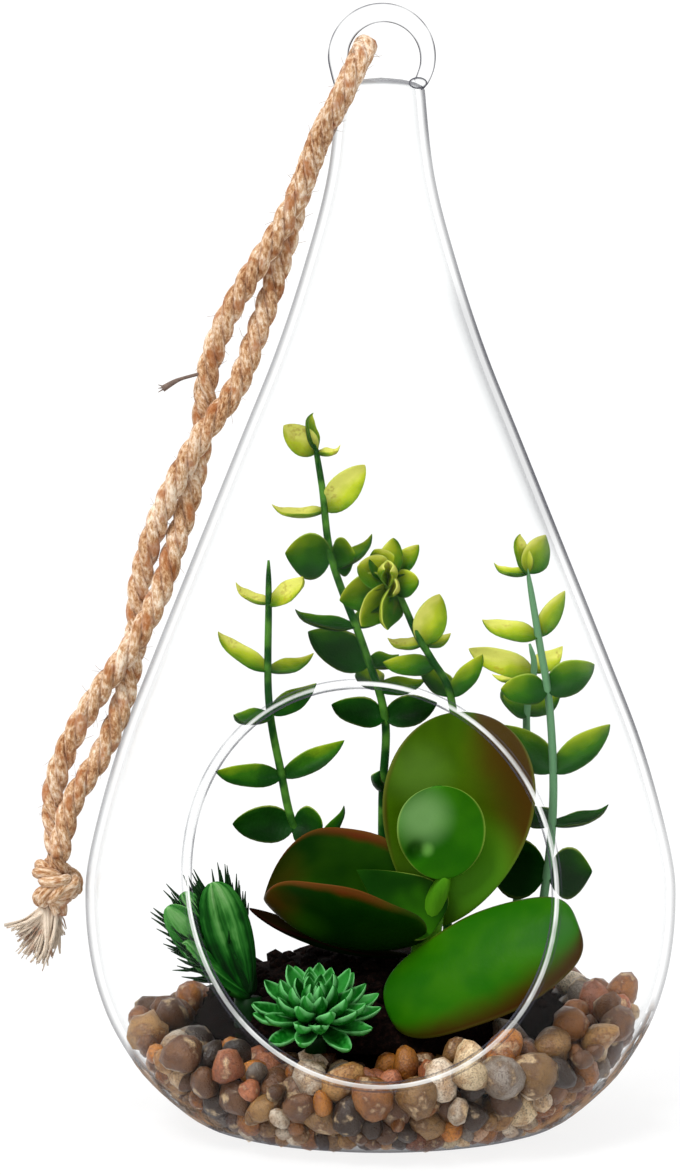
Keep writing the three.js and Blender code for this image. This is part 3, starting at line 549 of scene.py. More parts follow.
def clear_glass(name, line_width, line_dark):
    """Clear glass: faint white reflections by angle, and a grey line of painted shade where the surface
    turns away.

    The line keeps its width in millimetres, because the wall's own radius goes into its place. It is
    darker on the right, above all where the wall is thick between the shoulder and the neck, and there
    a broad band of painted shade lies inside it. At the foot the pebbles' colours are painted out to its
    edge, as painted refraction of the wall that bends them, and painted shade darkens it where it curls
    under."""
    glass = Finish(name)
    facing = glass.node("ShaderNodeLayerWeight", {"Blend": 0.5}, out="Facing")
    square = 1 - facing
    place = glass.place()
    x, y, z = (glass.node("ShaderNodeSeparateXYZ", {"Vector": place}, out=axis) for axis in "XYZ")
    inset = square * square * (x * x + y * y) ** 0.5 / 2
    streak = glass.noise(place, 0.03, detail=1.0)
    right = x.step(-4.0, 10.0)
    right_side = glass.node("ShaderNodeValToRGB", {"Fac": z / 230.0}, stops=[
        (up / 230, (dark, dark, dark, 1)) for up, dark in GLASS_RIGHT_LINE])
    by_side = GLASS_LEFT_LINE + right * (right_side - GLASS_LEFT_LINE)
    # The edge line's darkness and width: painted shade where the surface turns away.
    dark = line_dark * by_side * (0.75 + 0.5 * streak)
    line = 1 - inset.step(line_width * 0.12, line_width)
    # A broad band of painted shade inside the right edge, where the wall is thick.
    thick_wall_shade = right * z.step(112.0, 128.0) * (1 - z.step(166.0, 178.0)) * (0.14 * line_dark)
    band = (1 - inset.step(2.0, 3.6)) * thick_wall_shade
    # Painted shade at the foot, where the glass curls under.
    foot = (1 - z.step(1.0, 13.0)) * facing.step(0.5, 0.95) * (0.7 * line_dark)
    mottle = glass.noise(place, 0.2, detail=3.0)
    # The pebbles' colours painted out to the edge near the foot: painted refraction.
    stones = z.step(2.0, 5.0) * (1 - (z - x * 0.08).step(17.0, 22.0)) * (1 - inset.step(0.9, 1.9))
    stones = stones * mottle.step(0.36, 0.44) * (0.75 * line_dark)
    share = (line * dark).most(band.most(foot.most(stones)))
    bent_light = glass.mix(mottle.step(0.4, 0.62), paint(44, 30, 20), paint(150, 112, 74))
    line_colour = glass.mix(stones.step(0.1, 0.4), paint(66, 66, 78), bent_light)
    glass.set(glass.surface, {"Base Color": line_colour, "Roughness": 0.6, "Specular IOR Level": 0.1})
    clear = glass.node("ShaderNodeBsdfTransparent", {"Color": CLEAR})
    shine = glass.node("ShaderNodeBsdfGlossy", {"Color": (1, 1, 1, 1), "Roughness": 0.08})
    veil = 0.005 + facing ** 6 * z.step(-6.0, 60.0) * 0.28
    over_clear(glass, share, glass.node("ShaderNodeMixShader", {0: veil, 1: clear, 2: shine}))
    return glass


def glass_rod(name, core, rim, rim_inside, rim_outside, cloud_low, cloud_high, shade_spots=()):
    """A clear rod seen across: a painted white gleam along its middle, its core, which also glows
    faintly, between two dark rims of painted shade.

    Each shade spot deepens the rims' painted shade there: its centre, its radius and its strength."""
    rod = Finish(name)
    facing = rod.node("ShaderNodeLayerWeight", {"Blend": 0.5}, out="Facing")
    place = rod.place()
    cloud = rod.noise(place, 0.12, detail=2.0).step(cloud_low, cloud_high)
    outer = facing.step(rim_inside, rim_outside)
    middle = 1 - facing.step(0.03, 0.16)
    share = outer * rim * (0.3 + 0.7 * cloud) + middle * core * (1.2 - 0.5 * cloud)
    for centre, reach, strength in shade_spots:
        near = 1 - rod.distance(place, centre).step(reach * 0.4, reach)
        share = share + near * facing.step(0.25, 0.7) * strength
    # The middle's pale colour and faint white glow are a painted highlight; the rims' grey-blue is painted
    # shade.
    rod.set(rod.surface, {"Base Color": rod.mix(middle, paint(70, 70, 80), paint(236, 238, 236)),
                          "Roughness": 0.5, "Specular IOR Level": 0.1, "Emission Strength": 0.3,
                          "Emission Color": rod.mix(middle, (0, 0, 0, 1), (1, 1, 1, 1))})
    over_clear(rod, share, rod.node("ShaderNodeBsdfTransparent", {"Color": CLEAR}))
    return rod


drop_skins = [
    clear_glass("glass_outside", line_width=1.15, line_dark=1.0),
    clear_glass("glass_inside", line_width=1.2, line_dark=0.18),
    glass_rod("glass_bead", core=0.4, rim=0.62, rim_inside=0.14, rim_outside=0.4, cloud_low=0.35,
              cloud_high=0.65),
]
glass_drop = finish_piece(drop_mesh, "blown_glass_drop", drop_skins, "clear_glass", "glass_vessel")
glass_drop.data.set_sharp_from_angle(angle=math.radians(40))

# The loop is one bent rod: thick where it grows out of the neck's left side, thinner all the way
# round, and pressed down into a small weld on the right shoulder.
LOOP_X, LOOP_Z, LOOP_RADIUS = 0.4, 219, 9.1
LOOP_ROOT, LOOP_END = (-7.6, 0, 212.9), (7.4, 0, 213.6)
ROD_THICK, ROD_THIN = 2.15, 1.4
WELD_SIZE, WELD_PLACE = (1.9, 2.0, 1.2), (7.5, 0, 213.9)
# Spots of painted shade that deepen the loop's rims: centre, radius and strength.
LOOP_SHADE_SPOTS = [((-10, 0, 216), 5.5, 0.6), ((-5.5, 0, 222.5), 3.6, 0.4), ((8.6, 0, 220), 4.5, 0.6),
                   ((7.4, 0, 213.5), 3.5, 0.5)]
loop_line = [LOOP_ROOT]
for degrees in range(198, -31, -19):
    x, z = math.cos(math.radians(degrees)), math.sin(math.radians(degrees))
    loop_line.append((LOOP_X + LOOP_RADIUS * x, 0, LOOP_Z + LOOP_RADIUS * z))
loop_line.append(LOOP_END)
loop_mesh = bmesh.new()
add_tube(loop_mesh, smooth_route(loop_line, 0.5),
         lambda share: ROD_THICK + (ROD_THIN - ROD_THICK) * share ** 2 - 0.5 * (1 - share) ** 12, 24,
         side=Vector((0, 1, 0)))
weld = bmesh.ops.create_uvsphere(loop_mesh, u_segments=16, v_segments=10, radius=1)["verts"]
bmesh.ops.scale(loop_mesh, vec=WELD_SIZE, verts=weld)
bmesh.ops.translate(loop_mesh, vec=WELD_PLACE, verts=weld)
loop_skin = glass_rod("glass_loop", core=0.02, rim=0.85, rim_inside=0.4, rim_outside=0.75,
                      cloud_low=0.4, cloud_high=0.6, shade_spots=LOOP_SHADE_SPOTS)
finish_piece(loop_mesh, "glass_rod_loop", loop_skin, "clear_glass", "glass_loop")

# ---- Paddle plant ------------------------------------------------------------------------------
# A thick-leaved artificial succulent: soft moulded leaves with a waxy sheen, green with a red flush
# at the margin, pushed onto one short stem. A stalk from the stem carries the round cupped leaf.
# The sheen's highlights and glints, and the shade under and between the leaves, are painted into
# their colour.
def add_leaf(bm, base, tip, face, width, thick, peak=0.45, taper=0.9, sag=0.0, cup=0.0, around=16,
             along=14, groove=0.0, wave=0.0, point=0.0, tint=0.0):
    """A fleshy leaf from base to tip, drawn from a ball, with its own coordinates as attributes.

    peak is the share along where it is widest, taper how fast it narrows from there. cup lifts the
    sides and sag hollows the length. groove sinks a midrib, wave ripples the margin, and point draws
    out a fine tip that turns up."""
    layers = bm.verts.layers.float
    side_share, edge_share, tip_share, under_share, tint_share = (
        layers.get(name) or layers.new(name) for name in ("side", "edge", "along", "under", "tint"))
    root = Vector(base)
    run = Vector(tip) - root
    forward = run.normalized()
    across = Vector(face).cross(forward).normalized()
    up = forward.cross(across)
    swell = taper * peak / (1 - peak)
    ball = bmesh.ops.create_uvsphere(bm, u_segments=around, v_segments=along, radius=1)["verts"]
    for vertex in ball:
        t = (1 + vertex.co.z) / 2
        ring = math.hypot(vertex.co.x, vertex.co.y)
        side = vertex.co.x / ring if ring > 1e-6 else 0.0
        rise = vertex.co.y / ring if ring > 1e-6 else 0.0
        spread = (t / peak) ** swell * ((1 - t) / (1 - peak)) ** taper if 1e-6 < t < 1 - 1e-6 else 0.0
        depth = math.sqrt(spread)
        lift = cup * side * side * spread - sag * 4 * t * (1 - t)
        lift -= groove * math.exp(-(side / 0.2) ** 2) * spread * max(rise, 0)
        lift += wave * abs(side) ** 3 * math.sin(11 * t + 2 * side + tint) * spread
        lift += point * max(0, (t - 0.8) / 0.2) ** 2
        vertex.co = (root + forward * (t * run.length) + across * (side * width / 2 * spread)
                     + up * (rise * thick / 2 * depth + lift))
        vertex[side_share] = side
        vertex[edge_share] = abs(side)
        vertex[tip_share] = t
        vertex[under_share] = max(0.0, -rise)
        vertex[tint_share] = tint
    return ball


ROOT_FLOOR = 20.5
STEM_X, STEM_Y, STEM_RADIUS = 9.5, -7, 3.4
STALK_ROUTE = [(9.5, -7, 42), (11, -8.4, 47.5), (12.6, -9.2, 51.6), (13.6, -8.0, 55.2)]
STALK_FOOT, STALK_HEAD = 3.1, 1.2
DIMPLE_PLACE, DIMPLE_REACH, DIMPLE_DEPTH = Vector((7.0, -11.9, 58.6)), 1.9, 1.8
PADDLE_LEAVES = {
    "paddle_leaf_back": {
        "shape": dict(base=(12, -5.5, 42), tip=(19.5, -1, 85.5), face=(-0.1, -1, 0.12), width=31,
                      thick=3, peak=0.6, taper=0.48, cup=4, sag=-1.5),
        "skin": dict(name="skin_olive", light=(58, 92, 2), deep=(44, 72, 1), flush=(60, 34, 3),
                     flushed_side=-0.7, flushed_tip=0.85, margin_share=0.8,
                     # The first patch is a painted highlight; the second is the leaf's own brighter green
                     # low down.
                     patches=[((8, -4, 73), 9, (100, 140, 56), 0.3),
                              ((19, -6.5, 53), 15, (70, 130, 20), 0.9)]),
    },
    "paddle_leaf_cupped": {
        "shape": dict(base=(13.2, -10, 52.6), tip=(11.4, -12, 72), face=(0, -1, 0.1), width=18,
                      thick=2.2, peak=0.56, taper=0.42, cup=3.4, sag=1),
        "skin": dict(name="skin_fresh", light=(44, 104, 4), deep=(26, 84, 1), flush=(70, 80, 10),
                     flushed_side=0.0, flushed_tip=0.2, margin_share=0.2, rim_light_share=0.7,
                     # A painted highlight, painted shade in the dimple, and a painted glint beside it.
                     patches=[((8.4, -12, 65.6), 8.0, (136, 180, 112), 0.55),
                              (DIMPLE_PLACE, 3.0, (2, 48, 1), 0.9),
                              ((9.4, -11.2, 58.8), 2.0, (130, 190, 90), 0.4)]),
    },
    "paddle_leaf_left": {
        "shape": dict(base=(9, -9, 40), tip=(-23.8, -11, 49), face=(0.25, -0.4, 1), width=25,
                      thick=2.8, peak=0.52, taper=0.5, cup=19, sag=5),
        "skin": dict(name="skin_deep", light=(28, 66, 1), deep=(12, 50, 1), flush=(98, 26, 10),
                     flushed_side=0.0, flushed_tip=0.7, margin_share=1.0, rim_light_share=0.12,
                     patches=[((-13, -12, 48), 9, (60, 120, 6), 0.5)]),
    },
    "paddle_leaf_front": {
        "shape": dict(base=(1.2, -21.5, 27.4), tip=(39.4, -27, 46.3), face=(-0.35, -0.8, 0.5),
                      width=23.5, thick=3, peak=0.52, taper=0.3, cup=-1.2, sag=-1),
        "skin": dict(name="skin_vivid", light=(40, 96, 1), deep=(24, 84, 1), flush=(52, 12, 2),
                     flushed_side=-0.95, flushed_tip=0.25, margin_share=0.7, rim_light_share=0.1,
                     # Two small painted glints.
                     patches=[((13.4, -24, 42.4), 0.8, (200, 220, 190), 0.9),
                              ((15, -24, 43.4), 0.7, (200, 220, 190), 0.9)]),
    },
    "paddle_leaf_inner": {
        "shape": dict(base=(12, -10, 43.5), tip=(-5, -8.5, 54.2), face=(0.15, -1, 0.3), width=13,
                      thick=1.8, peak=0.24, taper=1.0, cup=1.5, sag=0.5),
        "skin": dict(name="skin_inner", light=(38, 92, 2), deep=(10, 50, 1), flush=(90, 70, 20),
                     flushed_side=0.0, flushed_tip=0.0, margin_share=0.0, rim_light_share=0.85,
                     # A patch of painted shade on the leaf, where it lies deep between the others.
                     patches=[((-2, -10, 52), 9, (8, 48, 1), 0.8)]),
    },
    "paddle_leaf_low": {
        "shape": dict(base=(8, -5.5, 36), tip=(-27, 2, 44.5), face=(0.2, 0, 1), width=12,
                      thick=1.8, peak=0.6, taper=0.8, cup=1, sag=3),
        # This leaf lies under the others: its whole skin is painted dark as shade, dull and without shine.
        "skin": dict(name="skin_painted_shade", light=(14, 16, 2), deep=(10, 8, 2), flush=(34, 8, 8),
                     flushed_side=0.0, flushed_tip=0.8, margin_share=0.6, rim_light_share=0.0,
                     roughness=0.85, shine=0.0),
    },
}


def paddle_skin(name, light, deep, flush, flushed_side, flushed_tip, margin_share, rim_light_share=0.25,
                patches=(), roughness=0.3, shine=0.03):
    """Waxy green, with painted shade on the underside. The flush spreads in from one side and from the
    tip, and lines the margin. A pale line of painted rim light runs round the edge.

    Each patch is a soft spot of another colour: its centre, its radius, the colour and its strength.
    Some are the leaf's own colour, others painted highlights, glints and shade."""
    skin = Finish(name)
    place = skin.place()
    cloud = skin.noise(place, 0.08, detail=2.0)
    fine = skin.noise(place, 0.9, detail=3.0)
    side, edge, along, under = (skin.attribute(layer) for layer in ("side", "edge", "along", "under"))
    green = skin.mix(cloud.step(0.35, 0.65), paint(*deep), paint(*light))
    shaded = skin.mix(under.step(0.1, 0.6) * 0.75, green, paint(2, 28, 1))
    spread = side * flushed_side + along * flushed_tip + cloud * 0.5
    blushed = skin.mix(spread.step(0.75, 1.35) * 0.9, shaded, paint(*flush))
    margin = (edge + cloud * 0.12).step(0.98, 1.05) * along.step(0.1, 0.5) * margin_share
    lined = skin.mix(margin, blushed, paint(*flush))
    # A pale line round the edge: painted rim light.
    colour = skin.mix(edge.step(0.94, 0.995) * rim_light_share, lined, paint(120, 146, 54))
    for centre, reach, patch, strength in patches:
        near = 1 - skin.distance(place, centre).step(reach * 0.2, reach)
        colour = skin.mix(near * strength, colour, paint(*patch))
    skin.set(skin.surface, {"Base Color": colour, "Roughness": roughness + fine * 0.1,
                            "Specular IOR Level": shine,
                            "Normal": skin.bump(fine * 0.15 + cloud * 0.7, 0.25)})
    return skin


for name, leaf in PADDLE_LEAVES.items():
    leaf_mesh = bmesh.new()
    for vertex in add_leaf(leaf_mesh, **leaf["shape"], around=56, along=42, wave=0.4):
        near = (vertex.co - DIMPLE_PLACE).length / DIMPLE_REACH
        vertex.co.y += DIMPLE_DEPTH * math.exp(-near ** 2)
    finish_piece(leaf_mesh, name + "_waxy", paddle_skin(**leaf["skin"]), "paddle_leaf_green", name)
stem_mesh = bmesh.new()
stem_line = [Vector((STEM_X, STEM_Y, z)) for z in (ROOT_FLOOR, 26, 32, 38, 43, 46, 47.5)]
add_tube(stem_mesh, smooth_route(stem_line, 1.2),
         lambda share: STEM_RADIUS * (1 - 0.45 * share ** 6), 20)
add_tube(stem_mesh, smooth_route(STALK_ROUTE, 0.8),
         lambda share: (STALK_FOOT + (STALK_HEAD - STALK_FOOT) * share) * (1.001 - share ** 9) ** 0.5, 16)
stem_skin = Finish("paddle_stem_skin")
stem_streak = stem_skin.noise(stem_skin.place((1, 1, 0.3)), 0.5)
stem_skin.set(stem_skin.surface, {
    "Base Color": stem_skin.mix(stem_streak, paint(48, 104, 6), paint(84, 144, 24)),
    "Roughness": 0.45, "Specular IOR Level": 0.03})
finish_piece(stem_mesh, "paddle_stem_round", stem_skin, "paddle_leaf_green", "paddle_stem")

# ---- Leafy stems -------------------------------------------------------------------------------
# Five upright sprays of small pointed leaves in pairs: dark green low down, through mid green to a
# yellow lime at the tips, each leaf a shallow boat with a fine upturned point.
STALK_RADIUS, LEAF_THICK = 0.95, 1.1
# Each stalk's route, then its leaves by tier: the height they leave the stalk at, how ripe they are
# from dark green at 0 to lime at 1, and each leaf's reach from there, its width and its roll.
LEAFY_STEMS = {
    "leafy_stem_left": (
        [(-4, 6.4, ROOT_FLOOR), (-4, 6.4, 37), (-11, 7.5, 50), (-17.6, 8, 60), (-20.5, 8, 72),
         (-23, 8, 87), (-23, 8, 107), (-23, 8, 116)],
        [(55, 0.1, [(7.5, -1, 10, 3, 40)]),
         (61, 0.1, [(-13, -4, 0.5, 8, 60), (6.5, -4, 0, 8, 60)]),
         (71, 0.3, [(-14, -3, 1, 5.6, 45), (13, 2, 7, 5, 50)]),
         (84, 0.4, [(-8, -8, 0, 5, 20), (9, 7, 5, 5, 40)]),
         (93, 0.74, [(-11, -2, 8, 4.6, 40), (9, 7, 2, 4.2, 25)]),
         (107, 0.92, [(-7, 4, 3, 3.4, 10), (8, -7, 6, 5, 60)])]),
    "leafy_stem_tall": (
        [(0.5, 10, ROOT_FLOOR), (0.5, 10, 40), (0.5, 10, 66), (1, 10, 83), (-3.5, 10, 98),
         (-10, 10, 116), (-12, 10, 131), (-14, 10, 143)],
        [(68, 0, [(-1.5, -7, 4, 4.6, 30), (8, -1, 3, 5, 40)]),
         (83, 0, [(-11.5, -3, 2.5, 7.5, 40), (11, -1, 3, 7, 55)]),
         (89, 0.45, [(-3, 9, 4, 6, 10), (10, 3, 1, 4.6, 40)]),
         (94, 0.18, [(-13, -2, 7, 8.6, 60), (6, 3, 1, 5, 30)]),
         (102, 0.3, [(-13, -3, 3, 4.6, 20), (5, 6, 3, 5, 30)]),
         (114, 0.35, [(8, 4, 6, 4.4, 10)]),
         (116.5, 0.42, [(-9.5, 0.5, 1, 10, 85), (4.6, 1, 0.8, 8.5, 85)]),
         (126, 0.88, [(-11, 3, 0, 4, 10), (8.5, -3, 10, 6.6, 80)]),
         (138, 0.98, [(-7, -2, 6, 6, 80), (5, 1, 0.5, 2.6, 10)]),
         (138.5, 0.55, [(-1.5, -2, 8, 3.6, 50)])]),
    "leafy_stem_middle": (
        [(14, 9, ROOT_FLOOR), (14, 9, 40), (16, 8, 70), (14.5, 6, 88), (10.5, 4, 96), (7.5, 4, 101),
         (4, 4, 109), (0.5, 4, 115)],
        [(88, 0.45, [(7, -2, 9, 4.6, 60), (-6, 4, 6, 6, 20)]),
         (94.5, 0.5, [(-11, -2, 0.5, 5, 50)]),
         (99, 0.82, [(3.5, -2, 11, 6.8, 80), (-7, 3, 0, 4, 20), (5.5, 4, 1, 4, 30)]),
         (111, 0.58, [(-2.5, -4, -8.5, 8, 80), (-7.5, -4, -7.5, 8, 85), (5.5, -3, 1.5, 6, 70),
                      (-11.5, -2, -2.5, 8.5, 80)]),
         (113, 0.64, [(1.5, -2, 8.5, 5.5, 75), (6.5, -1, 6.7, 4.6, 65), (-7, -4, 2.5, 7.5, 75),
                      (-3.5, -2, 6, 6.5, 75), (1.5, -5, 1.5, 6, 80), (-2, -5, 2, 5.5, 85),
                      (2, -5, -3, 5.5, 85)])]),
    "leafy_stem_right": (
        [(32, 4, ROOT_FLOOR), (33, 3, 40), (35, 1, 58), (35.5, 0.5, 72), (34.5, 0.5, 88),
         (32.5, 0.5, 100), (30, 0.5, 115)],
        [(52, 0, [(-12.5, 5, 2, 13, 80), (9, 3, 0, 11, 80)]),
         (62, 0.12, [(12, 2, 3, 4.4, 15), (-6, 9, 2, 6, 30)]),
         (73, 0.36, [(-10.5, 4, 9, 7.5, 50), (12, -2, 10, 6.5, 55)]),
         (90, 0.36, [(-10, -3, 0, 7, 50), (10, -3, 5.5, 7.5, 60)]),
         (101, 0.72, [(-12, -2, 3, 5.4, 35), (5.4, 3, 9, 4.4, 45)]),
         (114, 0.76, [(-2.5, -2, 8.5, 4, 60), (3.2, 1, 8, 6.2, 65), (-7, 2, 1, 3, 15)])]),
    "leafy_stem_back": (
        [(28, 18, ROOT_FLOOR), (28.5, 18, 40), (30.5, 16, 70), (30.5, 15, 84), (32, 14, 93),
         (31, 14, 98)],
        [(83, 0.5, [(-6, -6, 6, 5.5, 60), (7, 7, 3, 5, 30)]),
         (92, 0.95, [(-14, -3, 5, 5.8, 55), (-8, 5, -2, 3.4, 20), (6, 6, 4, 5, 30)])]),
}


def leaf_face(reach, roll):
    """The way a leaf's upper side looks: upwards, rolled towards the window by some degrees."""
    forward = Vector(reach).normalized()
    upward = Vector((0, -0.2, 1))
    upward = (upward - forward * upward.dot(forward)).normalized()
    sideways = forward.cross(upward)
    if sideways.y > 0:
        sideways.negate()
    angle = math.radians(roll)
    return upward * math.cos(angle) + sideways * math.sin(angle)


def point_at_height(line, height):
    """Where a stalk passes a height."""
    upper = next(i for i, p in enumerate(line) if p.z > height)
    low, high = line[upper - 1], line[upper]
    return low.lerp(high, (height - low.z) / (high.z - low.z))


spray = Finish("leafy_stem_skin")
spray_place = spray.place()
spray_x = spray.node("ShaderNodeSeparateXYZ", {"Vector": spray_place}, out="X")
spray_cloud = spray.noise(spray_place, 0.18, detail=2.0)
spray_fine = spray.noise(spray_place, 1.4, detail=3.0)
side, edge, along, under, tint, stalk = (
    spray.attribute(name) for name in ("side", "edge", "along", "under", "tint", "stalk"))
# The side term lightens the same half of every leaf, the half that turns up to the light: painted light.
ripeness = tint + (along - 0.45) * 0.35 + side * 0.26 + (spray_cloud - 0.5) * 0.45
green = spray.node("ShaderNodeValToRGB", {"Fac": ripeness}, stops=[
    (0.0, paint(4, 36, 2)), (0.25, paint(14, 62, 4)), (0.45, paint(42, 94, 6)), (0.65, paint(104, 138, 12)),
    (0.85, paint(176, 188, 40)), (1.0, paint(220, 220, 104))])
shadowed = spray.mix(under.step(0.1, 0.7) * 0.45, green, paint(6, 52, 4))
freckles = (spray_fine * spray_cloud).step(0.3, 0.42) * tint.step(0.4, 0.8) * 0.4
browned = spray.mix(freckles, shadowed, paint(140, 100, 10))
# A pale line along the edges, stronger on the lit half: the leaves' lime margin and painted rim light.
margin_and_rim_light = spray.mix(edge.step(0.88, 0.99) * (0.5 + side * 0.4) * 0.7, browned, paint(176, 194, 88))
heart_dark = spray.mix((1 - along).step(0.6, 1.0) * 0.7, margin_and_rim_light, paint(10, 62, 6))
left_stalks = spray.mix(spray_cloud.step(0.4, 0.65), paint(14, 64, 14), paint(74, 126, 40))
stalk_green = spray.mix(spray_x.step(27.0, 31.0), left_stalks, paint(96, 140, 100))
spray_colour = spray.mix(stalk, heart_dark, stalk_green)
spray.set(spray.surface, {"Base Color": spray_colour, "Roughness": 0.4 + spray_fine * 0.15,
                          "Specular IOR Level": 0.06, "Normal": spray.bump(spray_fine, 0.12)})
for name, (route, tiers) in LEAFY_STEMS.items():
    spray_mesh = bmesh.new()
    stalk_share = spray_mesh.verts.layers.float.new("stalk")
    add_tube(spray_mesh, smooth_route(route, 2.0),
             lambda share: STALK_RADIUS * (1.05 - 0.3 * share - 0.5 * share ** 30), 10)
    for vertex in spray_mesh.verts:
        vertex[stalk_share] = 1.0
    for height, ripe, leaves in tiers:
        foot = point_at_height([Vector(point) for point in route], height)
        for across, back, up, width, roll in leaves:
            reach = Vector((across, back, up))
            leaf = add_leaf(spray_mesh, foot, foot + reach, leaf_face(reach, roll), width, LEAF_THICK,
                            peak=0.42, taper=0.85, sag=0.1 * reach.length, cup=0.26 * width,
                            groove=0.25, wave=0.25, point=1.3, tint=ripe + rng.uniform(-0.08, 0.08))
            # Each leaf's side is turned so that the painted light falls on the same half of every leaf.
            lit_side = spray_mesh.verts.layers.float["side"]
            for vertex in leaf:
                vertex[lit_side] *= math.copysign(1, across)
    finish_piece(spray_mesh, name + "_spray", spray, "leafy_stem_green", name)

# ---- Aloe --------------------------------------------------------------------------------------
# A small toothed aloe on the left: thick dark blades from one heart, streaked with paler green, each
# edge lined with soft pointed teeth. Its short root is set in the soil.
ALOE_HEART = Vector((-27, -12, 28.5))
ALOE_BLADES = [
    {"tip": (-34.4, -13.5, 52.4), "width": 10.5, "blunt": 0.6, "teeth_from": 0.6, "face": (0.3, -1, 0.3)},
    {"tip": (-43.5, -14, 47.5), "width": 8.5, "blunt": 0.55, "teeth_from": 0.3, "face": (-0.2, -1, 0.5)},
    {"tip": (-40.5, -5, 49), "width": 8, "blunt": 0.45, "teeth_from": 0.35, "face": (-0.1, -1, 0.2)},
    {"tip": (-35.5, -3, 49.5), "width": 8, "blunt": 0.45, "teeth_from": 0.5, "face": (0.5, -1, 0.3)},
    {"tip": (-40, -19, 41), "width": 6, "blunt": 0.4, "teeth_from": 0.25, "face": (-0.5, -0.6, 1)},
]
BLADE_THICK, ALOE_ROOT_RADIUS, TEETH_A_SIDE = 3.2, 2.9, 14
aloe_mesh = bmesh.new()
root_line = [Vector((*ALOE_HEART[:2], z)) for z in (ROOT_FLOOR, 23, 26, 28.5)]
add_tube(aloe_mesh, root_line, ALOE_ROOT_RADIUS, 12)
for blade in ALOE_BLADES:
    tip = Vector(blade["tip"])
    run = tip - ALOE_HEART
    onward = run.normalized()
    outward = Vector(blade["face"])
    across = outward.cross(run).normalized()
    add_leaf(aloe_mesh, ALOE_HEART, tip, outward, blade["width"], BLADE_THICK, peak=blade["blunt"],
             taper=0.45, sag=1.2, cup=1.4, around=20, along=18, groove=0.5, tint=rng.uniform(-0.5, 0.5))
    for i in range(TEETH_A_SIDE):
        toothed = 0.98 - blade["teeth_from"]
        share = blade["teeth_from"] + toothed * (i + rng.uniform(0, 0.6)) / TEETH_A_SIDE
        half = blade["width"] / 2 * min(1, (1 - share) / (1 - blade["blunt"])) ** 0.45
        for side in (-1, 1):
            foot = ALOE_HEART + run * share + across * (side * half * rng.uniform(0.8, 1))
            aside = across * side + Vector((rng.gauss(0, 0.15), rng.gauss(0, 0.3), rng.gauss(0, 0.15)))
            direction = (aside * (1.2 - share) + onward * (0.3 + 0.9 * share)).normalized()
            reach = rng.uniform(2.0, 4.8)
            line = [foot - direction * 0.9, foot + direction * reach * 0.45,
                    foot + direction * reach + onward * 0.7]
            add_tube(aloe_mesh, line, lambda tooth_share: 0.58 - 0.5 * tooth_share, 5)
aloe_skin = Finish("aloe_skin")
side, edge, along, tint = (aloe_skin.attribute(name) for name in ("side", "edge", "along", "tint"))
cloud = aloe_skin.noise(aloe_skin.place(), 0.16, detail=2.0)
streaks = aloe_skin.noise(aloe_skin.node("ShaderNodeCombineXYZ", {
    "X": side * 2.6, "Y": tint * 9.0, "Z": cloud}), 1.0, detail=3.0)
midrib = (1 - edge.step(0.1, 0.75)) * along.step(0.1, 0.7)
aloe_green = aloe_skin.node("ShaderNodeValToRGB", {
    "Fac": streaks * 0.9 + midrib * 0.1 + along * 0.36 + cloud * 0.5 - 0.5}, stops=[
    (0.22, paint(2, 34, 4)), (0.38, paint(8, 70, 10)), (0.5, paint(40, 108, 34)),
    (0.62, paint(86, 150, 72)), (0.84, paint(150, 190, 130))])
aloe_skin.set(aloe_skin.surface, {"Base Color": aloe_green, "Roughness": 0.5, "Specular IOR Level": 0.08,
                                  "Normal": aloe_skin.bump(streaks, 0.8)})
finish_piece(aloe_mesh, "aloe_blades", aloe_skin, "aloe_green", "aloe")

# ---- Rosette -----------------------------------------------------------------------------------
# A pointed-leaved rosette that leans towards the window, emerald with paler edges and tips, these
# partly the leaves' own colour and partly painted highlight: rings of leaves round one heart, flat
# outside and steeper inwards, on a short root.
ROSETTE_HEART = Vector((-13.2, -30, 27.5))
ROSETTE_AXIS = Vector((0, -0.42, 0.9))
ROSETTE_HEART_RADIUS, ROSETTE_ROOT_RADIUS, ROSETTE_LEAF_THICK = 4.2, 2.2, 1.4
ROSETTE_RINGS = [
    {"leaves": 11, "length": 14, "lift": 4, "width": 4.6},
    {"leaves": 11, "length": 13.2, "lift": 22, "width": 4.4},
    {"leaves": 10, "length": 12, "lift": 40, "width": 4},
    {"leaves": 8, "length": 10.6, "lift": 56, "width": 3.4},
    {"leaves": 6, "length": 9.4, "lift": 70, "width": 2.8},
    {"leaves": 3, "length": 8, "lift": 84, "width": 2.2},
]
rosette_mesh = bmesh.new()
lean = Vector((0, 0, 1)).rotation_difference(ROSETTE_AXIS)
root_line = [Vector((ROSETTE_HEART.x, ROSETTE_HEART.y + 0.6, z)) for z in (ROOT_FLOOR, 23, 27.5)]
add_tube(rosette_mesh, root_line, ROSETTE_ROOT_RADIUS, 12)
heart_ball = bmesh.ops.create_uvsphere(rosette_mesh, u_segments=16, v_segments=10,
                                       radius=ROSETTE_HEART_RADIUS)["verts"]
bmesh.ops.translate(rosette_mesh, vec=ROSETTE_HEART, verts=heart_ball)
